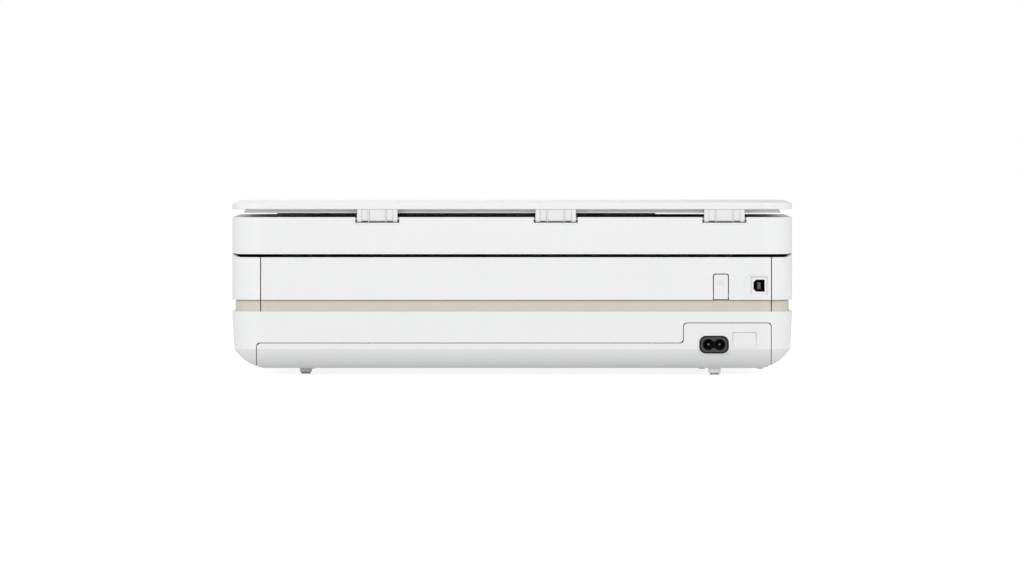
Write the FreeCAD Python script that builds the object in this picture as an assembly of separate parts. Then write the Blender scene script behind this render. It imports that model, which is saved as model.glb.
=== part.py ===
"""Compact all-in-one inkjet printer: a flatbed scanner on top of a two-cartridge print engine with a paper
tray that pulls out of the front.

The frame is millimetres, +Z up, with the origin under the middle of the printer on the surface it stands on.
The front, where the tray and the printed sheets come out, faces -Y. The rear, with the power inlet, the data
socket and the power button, faces +Y. Left and right are as seen from the front, so left is -X.
"""
import FreeCAD, Part
import math
import os

V = FreeCAD.Vector
X_AXIS, Y_AXIS, Z_AXIS = V(1, 0, 0), V(0, 1, 0), V(0, 0, 1)

# ---- overall size and the stack of casings, from the floor up ----
WIDTH = 432.5            # X, side to side
DEPTH = 361.0            # Y, front to rear
CORNER_R = 24.0          # upright corners of every casing
WALL = 2.2               # casing walls
FLANGE = 5.6             # inward flange where two casings meet
BEVEL_TOP_Z = 20.2       # where the curved underside meets the upright wall
BASE_TOP_Z = 49.3        # top of the lower housing
BAND_HEIGHT = 8.9        # recessed accent band
BAND_INSET = 2.6
BAND_WALL = 2.0
BAND_GROOVE = (0.7, 1.0)  # height and depth of the groove along the band's top
BODY_HEIGHT = 35.8       # upper housing, from the band to its rim at the sides
REAR_RIM_DROP = 2.9      # the rim is lower at the rear, where the scanner unit swings down
SIDE_GAP = 1.2           # between the upper housing's rim and the scanner unit
REAR_GAP = 2.4
SCANNER_TOP_Z = 122.0    # bezel round the glass
LID_GAP = 6.0            # between the bezel and the lid's cover
LID_THICKNESS = 5.4
DRAFT = 1.5              # the lower housing narrows by this much towards its bottom, each side
BEVEL_R = 33.2           # curved underside
BEVEL_RUN = 28.0
EDGE_BREAK = 0.5         # chamfer along the lower housing's top edge
SEAM = 0.5               # fine joint lines between casings
WIDE_SEAM = 0.7          # joint lines beside the rear panel
RUNNING = 0.05           # radial clearance of a shaft in a bore
SLIDING = 0.4            # clearance beside a sliding piece

BEVEL_CENTRE_Z = BEVEL_TOP_Z + math.sqrt(BEVEL_R ** 2 - BEVEL_RUN ** 2)
FLOOR_Z = BEVEL_CENTRE_Z - math.sqrt(BEVEL_R ** 2 - (CORNER_R - DRAFT - BEVEL_RUN) ** 2)   # flat underside
HALF_W = WIDTH / 2
REAR = DEPTH / 2
FRONT = -DEPTH / 2
BAND_TOP_Z = BASE_TOP_Z + BAND_HEIGHT
RIM_Z = BAND_TOP_Z + BODY_HEIGHT
REAR_RIM_Z = RIM_Z - REAR_RIM_DROP
CASE_SIDE_Z = RIM_Z + SIDE_GAP
CASE_REAR_Z = REAR_RIM_Z + REAR_GAP
LID_Z = SCANNER_TOP_Z + LID_GAP
HEIGHT = LID_Z + LID_THICKNESS
RIM_RAMP = (REAR - 22.5, REAR - 10.5)   # where the rim steps from side height to rear height

# ---- rear of the printer ----
PANEL_LEFT_MARGIN = 16.75    # from the printer's left side to the rear panel's edge
PANEL_RIGHT_MARGIN = 22.55
PANEL_X0 = -HALF_W + PANEL_LEFT_MARGIN
PANEL_X1 = HALF_W - PANEL_RIGHT_MARGIN
PAN_X1 = HALF_W - 19.2       # right edge of the bottom pan
PAN_FLOOR_Z = FLOOR_Z + WALL + 0.1     # what stands on the pan's floor starts here
SCREW_SEAT_Z = 6.9           # where the base screws' heads bear
PAN_LIP_Z = 24.7             # top of the pan's rear lip
PAN_TAB_Z = 40.2             # top of the tab that holds the inlet
PAN_TAB_WIDTH = 67.2
PAN_CORNER_R = 2.8
INLET_X = PANEL_X0 + 43.9    # power inlet centre
INLET_Z = 23.7
INLET_SIZE = (22.7, 13.7)
INLET_DEPTH = 21.0
INLET_CORNER_R = 5.2
INLET_RIM = 0.9              # sunken rim round the inlet's face
INLET_RIM_DEPTH = 0.8
INLET_RECESS_DEPTH = 12.0
INLET_PIN_PITCH = 8.6
INLET_PIN_R = 1.2
INLET_LOBE_R = 4.3
INLET_WAIST = 2.6            # half height of the recess between its two lobes
USB_X = PANEL_X0 + 9.2       # data socket centre
USB_Z = 69.2
USB_SHELL = (11.0, 12.0)     # outside of the metal shell, X by Z
USB_OPENING = (7.8, 8.5)
USB_BEVEL = 2.0              # the mouth's two bevelled corners
USB_DEPTH = 16.0
USB_MOUTH_DEPTH = 12.0
USB_TONGUE = (2.4, 4.9)      # X by Z
USB_RECESS = (13.4, 14.3)    # recess in the rear panel round the socket
USB_RECESS_DEPTH = 2.2
USB_RECESS_FLOOR = 1.2
USB_SETBACK = USB_RECESS_DEPTH + USB_RECESS_FLOOR + 0.15     # from the rear face to the shell's front
BUTTON_X = PANEL_X0 + 38.6
BUTTON_Z0 = BAND_TOP_Z + 0.5
BUTTON_SIZE = (10.9, 19.1)   # X by Z
BUTTON_GAP = 0.7
BUTTON_TRAVEL = 0.8
LABEL_SIZE = (18.6, 12.4)    # raised frame beside the inlet
LABEL_X = PANEL_X0 + 20.3
LABEL_Z = 27.1
LABEL_GROOVE = 0.5           # width of the frame's line
DRAIN_R = 0.5

# ---- scanner unit and lid ----
HINGE_PIN_R = 1.2
KNUCKLE_R = 2.5
SCANNER_PIVOT_Y = REAR - WALL - KNUCKLE_R - 0.3
SCANNER_PIVOT_Z = 97.4
SCANNER_HINGE_X = (-160.7, 150.0)
KNUCKLE_WIDTH = 9.0
GLASS_SIZE = (297.0, 216.0)      # opening over the glass
GLASS_RIGHT_MARGIN = 32.0
GLASS_REAR_MARGIN = 76.0
GLASS_THICKNESS = 3.0
GLASS_OVERLAP = 6.0
GLASS_X1 = HALF_W - GLASS_RIGHT_MARGIN
GLASS_X0 = GLASS_X1 - GLASS_SIZE[0]
GLASS_Y1 = REAR - GLASS_REAR_MARGIN
GLASS_Y0 = GLASS_Y1 - GLASS_SIZE[1]
GLASS_Z = SCANNER_TOP_Z - WALL
TUB_Z = SCANNER_PIVOT_Z
TUB_FLOOR = 2.0
SCAN_ROD_R = 3.0
SCAN_ROD_Z = TUB_Z + TUB_FLOOR + 3.7
SCAN_BAR_WIDTH = 18.0
LID_BARREL_R = 2.5
LID_PIVOT_Y = REAR - LID_BARREL_R - 0.3
LID_PIVOT_Z = SCANNER_TOP_Z - 1.3
LID_BARREL_GAP = 0.5             # under the barrels
LID_HINGE_SECTIONS = (3.5, 5.0, 1.1)     # widths of each cheek, groove and rib; a panel fills the middle
LID_HINGE_SINKS = (0.0, 0.8, 0.0, 0.6)   # how far cheeks, grooves, ribs and the middle panel lie back
LID_HINGE_X = (104.1, -33.5, -163.6)
LID_HINGE_WIDTH = 31.2
LID_HINGE_POCKET = 34.0
LID_PIN_R = 1.0
LID_PIN_GRIP = 2.0              # how far each end of a pin sits in the case
LID_FRAME_INSET = 9.2
LID_FRAME_Z = LID_Z - 2.9

# ---- print engine, placed from the rear wall forward ----
FEED_Y = REAR - 142.5            # main feed roller
FEED_Z = 50.0
ROLLER_R = 6.0                   # feed and exit rollers' rubber
SHAFT_R = 4.0
ROLLER_PITCH = 60.0              # feed roller to exit roller
PAPER_Z = FEED_Z + ROLLER_R      # the sheet's level under the print heads
PINCH_R = 3.0
STAR_R = 4.0
NIP = 0.2                        # gap that the sheet passes through
TURN_R = 17.0                    # drums that turn the sheet round at the rear
TURN_Z = 38.5
PICK_R = 9.0
PICK_REACH = 44.0
PLATE_X0 = -HALF_W + 44.25       # engine side plates' inner faces
PLATE_X1 = HALF_W - 36.25
PLATE_T = 2.5
PLATE_CLEARANCE = 0.5
PRINT_HALF = 105.0               # half the sheet path's width
GEAR_MODULE = 1.0
FEED_TEETH, IDLER_TEETH = 40, 20
MOTOR_TEETH = 18
TURN_PINION_TEETH, TURN_IDLER_TEETH, TURN_TEETH = 18, 68, 51
GEAR_WIDTH = 5.0
STUB_R = 3.0                     # fixed axles of the idler gears
MOTOR_SHAFT_R = 1.5
GEAR_PLANE_1 = PLATE_X0 - PLATE_T - 2.5     # right faces of the two rows of gears
GEAR_PLANE_2 = GEAR_PLANE_1 - GEAR_WIDTH - 2.0
CARRIAGE_WIDTH = 70.0
CARRIAGE_Z = PAPER_Z + 2.4
CARRIAGE_TOP_Z = 90.0
CARRIAGE_Y0 = FEED_Y - 46.0
CARRIAGE_Y1 = FEED_Y + 12.0
CARRIAGE_PARK_GAP = 1.5          # from the parked carriage to the right side plate
CARRIAGE_STEP = 6.0              # the carriage is this much higher behind, over the pinch rollers
ROD_R = 3.5
ROD_Y = FEED_Y + 22.0
ROD_Z = 66.0
BELT_Z = 80.0
PULLEY_R = 5.0
BELT_WIDTH = 5.0
BELT_T = 1.0
BEAM_Y = ROD_Y + 10.0

# ---- tray, output deck and controls ----
TRAY_HALF = 122.0
TRAY_FRONT_HALF = 149.6
TRAY_TOP_Z = 34.0
TRAY_FRONT_TOP_Z = 40.0
TRAY_FLOOR_Z = 11.9
TRAY_WALL = 2.0
TRAY_BOTTOM_Z = 8.2
TRAY_REAR_Y = REAR - 66.0
GUIDE_HALF = TRAY_HALF - 11.5    # outer faces of the width guides at their widest
GUIDE_TRAVEL = 54.0
GUIDE_Y = -20.0
GUIDE_TEETH = 16
DECK_Z = 44.6                    # underside of the output deck's plate
DECK_T = 2.4
DECK_REAR_Y = FEED_Y - ROLLER_PITCH - 12.0
OPENING_HALF = 128.0
OPENING_TOP_Z = 86.0
EXTENDER_HALF = 45.0
CONTROL_SIZE = (62.0, 22.0)
CONTROL_X = OPENING_HALF + 39.0
CONTROL_Z = BAND_TOP_Z + 17.5
KEY_SIZE = (11.0, 8.0)
KEY_PITCH = 17.0
KEY_TRAVEL = 0.6


# ---- geometry helpers ----
def box(x0, x1, y0, y1, z0, z1):
    """Upright block between two corners."""
    return Part.makeBox(x1 - x0, y1 - y0, z1 - z0, V(x0, y0, z0))


def bar_x(r, x0, x1, y, z):
    """Round bar along X."""
    return Part.makeCylinder(r, x1 - x0, V(x0, y, z), X_AXIS)


def bar_y(r, x, y0, y1, z):
    """Round bar along Y."""
    return Part.makeCylinder(r, y1 - y0, V(x, y0, z), Y_AXIS)


def bar_z(r, x, y, z0, z1):
    """Round bar along Z."""
    return Part.makeCylinder(r, z1 - z0, V(x, y, z0), Z_AXIS)


def fuse(first, *others):
    """One solid from touching or overlapping solids, with the joint lines removed."""
    whole = first.multiFuse(list(others)) if others else first
    return whole.removeSplitter()


def outline_edges(corners):
    """Edges of a closed outline. Each corner is (u, v) or (u, v, radius)."""
    points = [V(c[0], c[1], 0) for c in corners]
    radii = [c[2] if len(c) > 2 else 0.0 for c in corners]
    stops = []
    for i, corner in enumerate(points):
        back = (points[i - 1] - corner).normalize()
        ahead = (points[(i + 1) % len(points)] - corner).normalize()
        if radii[i] <= 0:
            stops.append((corner, None, corner))
            continue
        half = back.getAngle(ahead) / 2
        reach = radii[i] / math.tan(half)
        inward = (back + ahead).normalize()
        centre = corner + inward * (radii[i] / math.sin(half))
        stops.append((corner + back * reach, centre - inward * radii[i], corner + ahead * reach))
    edges = []
    for i, (start, middle, end) in enumerate(stops):
        if middle is not None:
            edges.append(Part.Arc(start, middle, end).toShape())
        following = stops[(i + 1) % len(stops)][0]
        if (following - end).Length > 1e-6:
            edges.append(Part.LineSegment(end, following).toShape())
    return edges


def prism(plane, corners, start, end):
    """Outline drawn in plane xy, xz or yz, extruded from start to end along the third axis."""
    face = Part.Face(Part.Wire(outline_edges(corners)))
    solid = face.extrude(V(0, 0, end - start))
    if plane == "xy":
        place = FreeCAD.Matrix(1, 0, 0, 0, 0, 1, 0, 0, 0, 0, 1, start, 0, 0, 0, 1)
    elif plane == "xz":      # u is X, v is Z; a turn keeps it unmirrored, so it runs from end to start
        place = FreeCAD.Matrix(1, 0, 0, 0, 0, 0, -1, end, 0, 1, 0, 0, 0, 0, 0, 1)
    else:                    # yz: u is Y, v is Z
        place = FreeCAD.Matrix(0, 0, 1, start, 1, 0, 0, 0, 0, 1, 0, 0, 0, 0, 0, 1)
    solid.transformShape(place)
    return solid


def face_block(x, z, width, height, r, y0, y1):
    """Block that shows a rounded rectangle to the rear, centred on (x, z)."""
    w, h = width / 2, height / 2
    return prism("xz", [(x - w, z - h, r), (x + w, z - h, r), (x + w, z + h, r), (x - w, z + h, r)], y0, y1)


def round_slab(x0, x1, y0, y1, z0, z1, r):
    """Block with rounded upright corners."""
    return prism("xy", [(x0, y0, r), (x1, y0, r), (x1, y1, r), (x0, y1, r)], z0, z1)


def plan_slab(inset, z0, z1):
    """Slab with the printer's own outline, taken in by inset."""
    w, d = HALF_W - inset, REAR - inset
    return round_slab(-w, w, -d, d, z0, z1, max(CORNER_R - inset, 1.0))


def plan_ring(outer, inner, z0, z1):
    """Wall that follows the printer's outline between two insets."""
    return plan_slab(outer, z0, z1).cut(plan_slab(inner, z0 - 1, z1 + 1))


def base_bulk(inset):
    """Lower housing's outer shape: drafted walls on a curved underside, taken in by inset."""
    edge_r = CORNER_R - DRAFT - inset
    top_r = CORNER_R - inset
    arc_r = BEVEL_R - inset
    centre_r = CORNER_R - DRAFT - BEVEL_RUN

    def arc_z(r):
        return BEVEL_CENTRE_Z - math.sqrt(arc_r ** 2 - (r - centre_r) ** 2)

    inner, middle, outer = (V(r, 0, arc_z(r)) for r in (0.0, edge_r / 2, edge_r))
    wall_top, core_top = V(top_r, 0, BASE_TOP_Z - EDGE_BREAK), V(0, 0, BASE_TOP_Z)
    chamfer_top = V(top_r - EDGE_BREAK, 0, BASE_TOP_Z)
    edges = [
        Part.Arc(inner, middle, outer).toShape(),
        Part.LineSegment(outer, wall_top).toShape(),
        Part.LineSegment(wall_top, chamfer_top).toShape(),
        Part.LineSegment(chamfer_top, core_top).toShape(),
        Part.LineSegment(core_top, inner).toShape(),
    ]
    face = Part.Face(Part.Wire(edges))
    half_x, half_y = HALF_W - CORNER_R, REAR - CORNER_R
    pieces = [box(-half_x, half_x, -half_y, half_y, inner.z, BASE_TOP_Z)]
    centres = [(half_x, half_y), (-half_x, half_y), (-half_x, -half_y), (half_x, -half_y)]
    for turn, (cx, cy) in enumerate(centres):
        corner = face.revolve(V(0, 0, 0), Z_AXIS, 90)
        corner.rotate(V(0, 0, 0), Z_AXIS, 90 * turn)
        corner.translate(V(cx, cy, 0))
        across, out = (half_y, half_x) if turn % 2 == 0 else (half_x, half_y)
        side = face.extrude(V(0, 2 * across, 0))
        side.translate(V(out, -across, 0))
        side.rotate(V(0, 0, 0), Z_AXIS, 90 * turn)
        pieces += [corner, side]
    return fuse(*pieces)


def gear(teeth, x, y, z, width, phase, bore=0.0):
    """Spur gear on an X axle, from x towards +X. phase is the angle from +Y to +Z of one tooth's middle."""
    pitch_r = GEAR_MODULE * teeth / 2
    face = Part.Face(Part.Wire(gear_edges(teeth, pitch_r, phase)))
    solid = face.extrude(V(0, 0, width))
    solid.transformShape(FreeCAD.Matrix(0, 0, 1, x, 1, 0, 0, y, 0, 1, 0, z, 0, 0, 0, 1))
    return solid.cut(bar_x(bore, x - 1, x + width + 1, y, z)) if bore else solid


def gear_edges(teeth, pitch_r, phase):
    """Involute teeth with shortened tips and a little backlash, as straight flank pieces."""
    pressure = math.radians(20)
    base_r = pitch_r * math.cos(pressure)
    tip_r, root_r = pitch_r + 0.85 * GEAR_MODULE, pitch_r - 1.15 * GEAR_MODULE
    backlash = 0.16 * GEAR_MODULE
    half_at_pitch = math.pi / (2 * teeth) - backlash / (2 * pitch_r)

    def involute(r):
        roll = math.sqrt(max((r / base_r) ** 2 - 1, 0.0))
        return roll - math.atan(roll)

    start_r = max(base_r, root_r)
    radii = [start_r + (tip_r - start_r) * k / 4 for k in range(5)]
    flank = [(r, half_at_pitch + involute(pitch_r) - involute(r)) for r in radii]
    if root_r < start_r:
        flank.insert(0, (root_r, flank[0][1]))
    points = []
    for tooth in range(teeth):
        middle = math.radians(phase) + 2 * math.pi * tooth / teeth
        for r, half in flank:
            points.append(V(r * math.cos(middle - half), r * math.sin(middle - half), 0))
        for r, half in reversed(flank):
            points.append(V(r * math.cos(middle + half), r * math.sin(middle + half), 0))
    return Part.makePolygon(points + points[:1]).Edges


def mesh_phase(driver_teeth, driver_phase, direction, driven_teeth):
    """Phase of a gear that meshes with a driver whose centre lies opposite to direction, in degrees."""
    share = ((direction - driver_phase) * driver_teeth / 360.0) % 1.0
    return direction + 180.0 - (0.5 - share) * 360.0 / driven_teeth


def write(node, *solids):
    """One STEP file per sub-part."""
    shape = solids[0] if len(solids) == 1 else Part.makeCompound(list(solids))
    shape.exportStep(os.path.join("parts", node + ".step"))


# ---- lower casings ----
def pan_region(grow):
    """Space that belongs to the bottom pan: the floor, the rear lip and the tab round the inlet."""
    x0, x1 = PANEL_X0 - grow, PAN_X1 + grow
    tab_x = PANEL_X0 + PAN_TAB_WIDTH + grow
    lip, tab, r = PAN_LIP_Z + grow, PAN_TAB_Z + grow, PAN_CORNER_R
    rear = prism("xz", [(x0, -1), (x1, -1), (x1, lip, r), (tab_x, lip, r), (tab_x, tab, r), (x0, tab, r)],
                 REAR - 30, REAR + 1)
    return fuse(box(x0, x1, FRONT - 1, REAR - 29, -1, PAN_FLOOR_Z + grow), rear)


def foot_places():
    """Centres of the four feet. The rear right foot stands further forward than the rear left one."""
    side_x = HALF_W - 56.0
    return [(INLET_X - 0.9, REAR - 38), (side_x, REAR - 88), (-side_x, FRONT + 40), (side_x, FRONT + 40)]


def screw_places():
    """Screws that hold the lower housing on the bottom pan."""
    return [(x, y) for x in (PANEL_X0 + 4.6, PAN_X1 - 5.0) for y in (FRONT + 45, 0.0, REAR - 45)]


def bottom_pan(shell):
    pan = shell.common(pan_region(0))
    lumps = []
    for x, y in foot_places():
        foot = round_slab(x - 4.6, x + 4.6, y - 12, y + 12, 1.6, FLOOR_Z + 1, 1.5)
        lumps.append(foot)
    for x in (INLET_X + 9.0, INLET_X - 36.2):      # moulding pads near the rear edge
        lumps.append(box(x - 2.2, x + 2.2, REAR - 40, REAR - 30, FLOOR_Z - 0.8, FLOOR_Z + 1))
    for x in (-TRAY_FRONT_HALF + 14, TRAY_FRONT_HALF - 14):     # rails beside the tray
        lumps.append(box(x - 1, x + 1, FRONT + 30, FEED_Y + 20, PAN_FLOOR_Z - 1.4, PAN_FLOOR_Z + 4))
    pan = fuse(pan, *lumps)
    for x, y in foot_places():
        pan = pan.cut(round_slab(x - 3.6, x + 3.6, y - 9, y + 9, 1.0, 3.0, 1.2))
    for x, y in screw_places():
        pan = pan.cut(bar_z(1.8, x, y, 0, 10)).cut(bar_z(3.4, x, y, 0, SCREW_SEAT_Z))
    pan = pan.cut(face_block(INLET_X, INLET_Z, *INLET_SIZE, INLET_CORNER_R, REAR - 30, REAR + 1))
    return pan.cut(label_groove()).cut(pan_drains())


def pan_drains():
    """Small holes through both casings at two corners of the pan's rear lip."""
    tab_x = PANEL_X0 + PAN_TAB_WIDTH
    spots = ((tab_x + 1.0, PAN_LIP_Z + 1.5), (PAN_X1 - 1.6, PAN_LIP_Z - 0.2))
    holes = [bar_y(DRAIN_R, x, REAR - 6, REAR + 1, z) for x, z in spots]
    return holes[0].fuse(holes[1])


def label_groove():
    """Fine rectangular groove where a rating plate would be moulded."""
    w, h = LABEL_SIZE
    inset = 2 * LABEL_GROOVE
    outer = face_block(LABEL_X, LABEL_Z, w, h, 1.2, REAR - 1.6, REAR + 1)
    inner = face_block(LABEL_X, LABEL_Z, w - inset, h - inset, 1.0, REAR - 2, REAR + 2)
    return outer.cut(inner)


def lower_housing(shell):
    flange = plan_ring(2 * EDGE_BREAK, FLANGE, BASE_TOP_Z - 2.0, BASE_TOP_Z)
    housing = fuse(shell.cut(pan_region(SEAM)), flange)
    half = TRAY_FRONT_HALF + SLIDING
    opening = box(-half, half, FRONT - 1, FRONT + 30, -1, BASE_TOP_Z + 1)
    housing = housing.cut(opening)
    posts = []
    inside = base_bulk(WALL + SEAM)
    for x, y in screw_places():
        side = 1 if x > 0 else -1
        web = box(min(x, side * (HALF_W - 4)), max(x, side * (HALF_W - 4)), y - 1, y + 1, PAN_FLOOR_Z + 2, 24)
        posts += [bar_z(4.0, x, y, PAN_FLOOR_Z + SEAM, 24).common(inside), web.common(base_bulk(1.0))]
    housing = fuse(housing, *posts)
    for x, y in screw_places():
        housing = housing.cut(bar_z(1.5, x, y, 0, 22))
    return housing.cut(pan_drains())


def accent_band():
    """Recessed coloured band in two pieces: one behind, and one round each side to the output opening."""
    groove_h, groove_d = BAND_GROOVE
    groove_z, inside = BAND_TOP_Z - groove_h, BAND_INSET + BAND_WALL
    ring = fuse(plan_ring(BAND_INSET, inside, BASE_TOP_Z, groove_z),
                plan_ring(BAND_INSET + groove_d, inside, groove_z - 0.1, BAND_TOP_Z))
    behind = ring.common(box(PANEL_X0, PANEL_X1, REAR - 12, REAR + 1, 0, 200))
    cut = ring.cut(box(PANEL_X0 - WIDE_SEAM, PANEL_X1 + WIDE_SEAM, REAR - 12, REAR + 1, 0, 200))
    cut = cut.cut(box(-OPENING_HALF, OPENING_HALF, FRONT - 1, FRONT + 12, 0, 200))
    return [behind] + cut.Solids


# ---- upper casings ----
def rear_panel():
    wall = plan_ring(0, WALL, BAND_TOP_Z, REAR_RIM_Z)
    flange = plan_ring(0, FLANGE, BAND_TOP_Z, BAND_TOP_Z + 2.0)
    rw, rh = USB_RECESS[0] / 2 + USB_RECESS_FLOOR, USB_RECESS[1] / 2 + USB_RECESS_FLOOR
    inner_y = REAR - USB_RECESS_DEPTH - USB_RECESS_FLOOR
    backing = box(USB_X - rw, USB_X + rw, inner_y, REAR - WALL / 2, USB_Z - rh, USB_Z + rh)
    backing = backing.common(plan_slab(WALL / 2, 0, HEIGHT))
    panel = fuse(wall, flange, backing).common(box(PANEL_X0, PANEL_X1, REAR - 20, REAR + 1, 0, 200))
    bw, bh = BUTTON_SIZE[0] / 2 + BUTTON_GAP, BUTTON_SIZE[1] + BUTTON_GAP
    notch = prism("xz", [(BUTTON_X - bw, BAND_TOP_Z - 2), (BUTTON_X + bw, BAND_TOP_Z - 2),
                         (BUTTON_X + bw, BUTTON_Z0 + bh, 1.8), (BUTTON_X - bw, BUTTON_Z0 + bh, 1.8)],
                  REAR - 10, REAR + 1)
    recess = face_block(USB_X, USB_Z, *USB_RECESS, 0.8, REAR - USB_RECESS_DEPTH, REAR + 1)
    mouth = usb_outline(2 * SLIDING, REAR - 10, REAR + 1)
    far, near, high, low = USB_X + 11.6, USB_X - 7.6, 9.0, 4.6
    surround = prism("xz", [(far, USB_Z - low, 2), (far, USB_Z + low, 2), (USB_X + 7.4, USB_Z + high, 2),
                            (near, USB_Z + high, 2), (near, USB_Z - high, 2), (USB_X + 7.4, USB_Z - high, 2)],
                     REAR - 0.25, REAR + 1)
    return panel.cut(notch).cut(recess).cut(mouth).cut(surround)


def usb_outline(grow, y0, y1):
    """The data plug's outline, larger by grow in both directions: a rectangle with two bevelled corners."""
    w, h = (USB_OPENING[0] + grow) / 2, (USB_OPENING[1] + grow) / 2
    x0, x1, z0, z1 = USB_X - w, USB_X + w, USB_Z - h, USB_Z + h
    return prism("xz", [(x0, z0), (x1 - USB_BEVEL, z0), (x1, z0 + USB_BEVEL), (x1, z1 - USB_BEVEL),
                        (x1 - USB_BEVEL, z1), (x0, z1)], y0, y1)


def upper_housing():
    """Side and front walls, with the opening where printed sheets come out and the control panel's seat."""
    wall = plan_ring(0, WALL, BAND_TOP_Z, RIM_Z)
    flange = plan_ring(0, FLANGE, BAND_TOP_Z, BAND_TOP_Z + 2.0)
    cx, cz = CONTROL_SIZE[0] / 2, CONTROL_SIZE[1] / 2
    backing = box(CONTROL_X - cx - 2, CONTROL_X + cx - 14, FRONT + WALL - 0.1, FRONT + 6.4,
                  CONTROL_Z - cz - 2, CONTROL_Z + cz + 2)
    housing = fuse(wall, flange, backing)
    housing = housing.cut(box(PANEL_X0 - WIDE_SEAM, PANEL_X1 + WIDE_SEAM, REAR - 20, REAR + 1, 0, 200))
    ramp = prism("yz", [(RIM_RAMP[0], RIM_Z + 1), (RIM_RAMP[0], RIM_Z), (RIM_RAMP[1], REAR_RIM_Z),
                        (REAR + 1, REAR_RIM_Z), (REAR + 1, RIM_Z + 1)], -HALF_W - 1, HALF_W + 1)
    opening = prism("xz", [(-OPENING_HALF, BAND_TOP_Z - 1), (OPENING_HALF, BAND_TOP_Z - 1),
                           (OPENING_HALF, OPENING_TOP_Z, 4), (-OPENING_HALF, OPENING_TOP_Z, 4)],
                    FRONT - 1, FRONT + 12)
    seat = face_block(CONTROL_X - 8.0, CONTROL_Z, 2 * cx - 16, 2 * cz, 2.0, FRONT - 1, FRONT + 3.2)
    inner = box(CONTROL_X - cx + 3, CONTROL_X + cx - 19, FRONT, FRONT + 8,
                CONTROL_Z - cz + 3, CONTROL_Z + cz - 3)
    return housing.cut(ramp).cut(opening).cut(seat).cut(inner)


def key_places():
    """Centres of the two keys on the control panel."""
    middle = CONTROL_X - 8.0
    return {"copy_key": middle - KEY_PITCH / 2, "cancel_key": middle + KEY_PITCH / 2}


def control_panel():
    cx, cz = CONTROL_SIZE[0] / 2 - 0.2, CONTROL_SIZE[1] / 2 - 0.2
    panel = face_block(CONTROL_X - 8.0, CONTROL_Z, 2 * cx - 16, 2 * cz, 1.9, FRONT + 0.6, FRONT + 3.2)
    for x in key_places().values():
        panel = panel.cut(key_block(x, SLIDING / 2, FRONT, FRONT + 5))
    return panel


def key_block(x, grow, y0, y1):
    return face_block(x, CONTROL_Z, KEY_SIZE[0] + 2 * grow, KEY_SIZE[1] + 2 * grow, 2.0, y0, y1)


def control_key(x):
    """Key cap with a flange behind the panel that keeps it in."""
    cap = key_block(x, 0, FRONT + 0.1, FRONT + 3.6)
    flange = key_block(x, 1.0, FRONT + 3.4, FRONT + 4.6)
    return fuse(cap, flange)


def power_button():
    """Rear push button with a power sign cut in its face and a stem towards the board."""
    w, h = BUTTON_SIZE
    x0, x1, top = BUTTON_X - w / 2, BUTTON_X + w / 2, BUTTON_Z0 + h
    cap = prism("xz", [(x0, BUTTON_Z0), (x1, BUTTON_Z0), (x1, top, 1.4), (x0, top, 1.4)],
                REAR - 2.4, REAR - 0.1)
    stem = box(BUTTON_X - 3, BUTTON_X + 3, REAR - 12, REAR - 2.3, BUTTON_Z0 + 8, BUTTON_Z0 + 14)
    sign_z = BUTTON_Z0 + 12.4
    ring = bar_y(1.9, BUTTON_X, REAR - 0.4, REAR + 1, sign_z)
    ring = ring.cut(bar_y(1.5, BUTTON_X, REAR - 0.5, REAR + 2, sign_z))
    ring = ring.cut(box(BUTTON_X - 0.7, BUTTON_X + 0.7, REAR - 1, REAR + 2, sign_z, sign_z + 3))
    stroke = box(BUTTON_X - 0.22, BUTTON_X + 0.22, REAR - 0.4, REAR + 1, sign_z + 0.2, sign_z + 2.4)
    return fuse(cap, stem).cut(ring).cut(stroke)


# ---- electrical pieces at the rear ----
def power_inlet():
    """Two-pin mains inlet: a black housing with a figure-of-eight recess, and its two pins."""
    w, h = INLET_SIZE[0] - 0.2, INLET_SIZE[1] - 0.2
    face_y = REAR - 0.2
    floor_y = face_y - INLET_RECESS_DEPTH
    housing = face_block(INLET_X, INLET_Z, w, h, INLET_CORNER_R - 0.1,
                         face_y - INLET_DEPTH, face_y - INLET_RIM_DEPTH)
    face = face_block(INLET_X, INLET_Z, w - 2 * INLET_RIM, h - 2 * INLET_RIM, INLET_CORNER_R - INLET_RIM,
                      face_y - INLET_RIM_DEPTH - 0.1, face_y)
    half = INLET_PIN_PITCH / 2
    eight = fuse(bar_y(INLET_LOBE_R, INLET_X - half, floor_y, face_y + 1, INLET_Z),
                 bar_y(INLET_LOBE_R, INLET_X + half, floor_y, face_y + 1, INLET_Z),
                 box(INLET_X - half, INLET_X + half, floor_y, face_y + 1,
                     INLET_Z - INLET_WAIST, INLET_Z + INLET_WAIST))
    pins = []
    for x in (INLET_X - half, INLET_X + half):
        pin = bar_y(INLET_PIN_R, x, floor_y, face_y - 2.5, INLET_Z)
        tip = [e for e in pin.Edges if abs(e.BoundBox.YMin - (face_y - 2.5)) < 1e-6]
        pins.append(pin.makeFillet(INLET_PIN_R - 0.3, tip))
    return fuse(housing, face).cut(eight), pins


def power_supply():
    """Potted supply block in front of the inlet, with cooling ribs on top."""
    x0, x1 = PLATE_X0 + 2.5, PLATE_X0 + 44
    y0, y1 = FEED_Y + 24, REAR - 0.2 - INLET_DEPTH - 0.5
    block = round_slab(x0, x1, y0, y1, PAN_FLOOR_Z + 1, 33, 3)
    ribs = [box(x0 + 5, x1 - 5, y, y + 1.6, 33, 34.2) for y in (y0 + 12 + 9 * k for k in range(8))]
    return fuse(block, *ribs)


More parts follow.
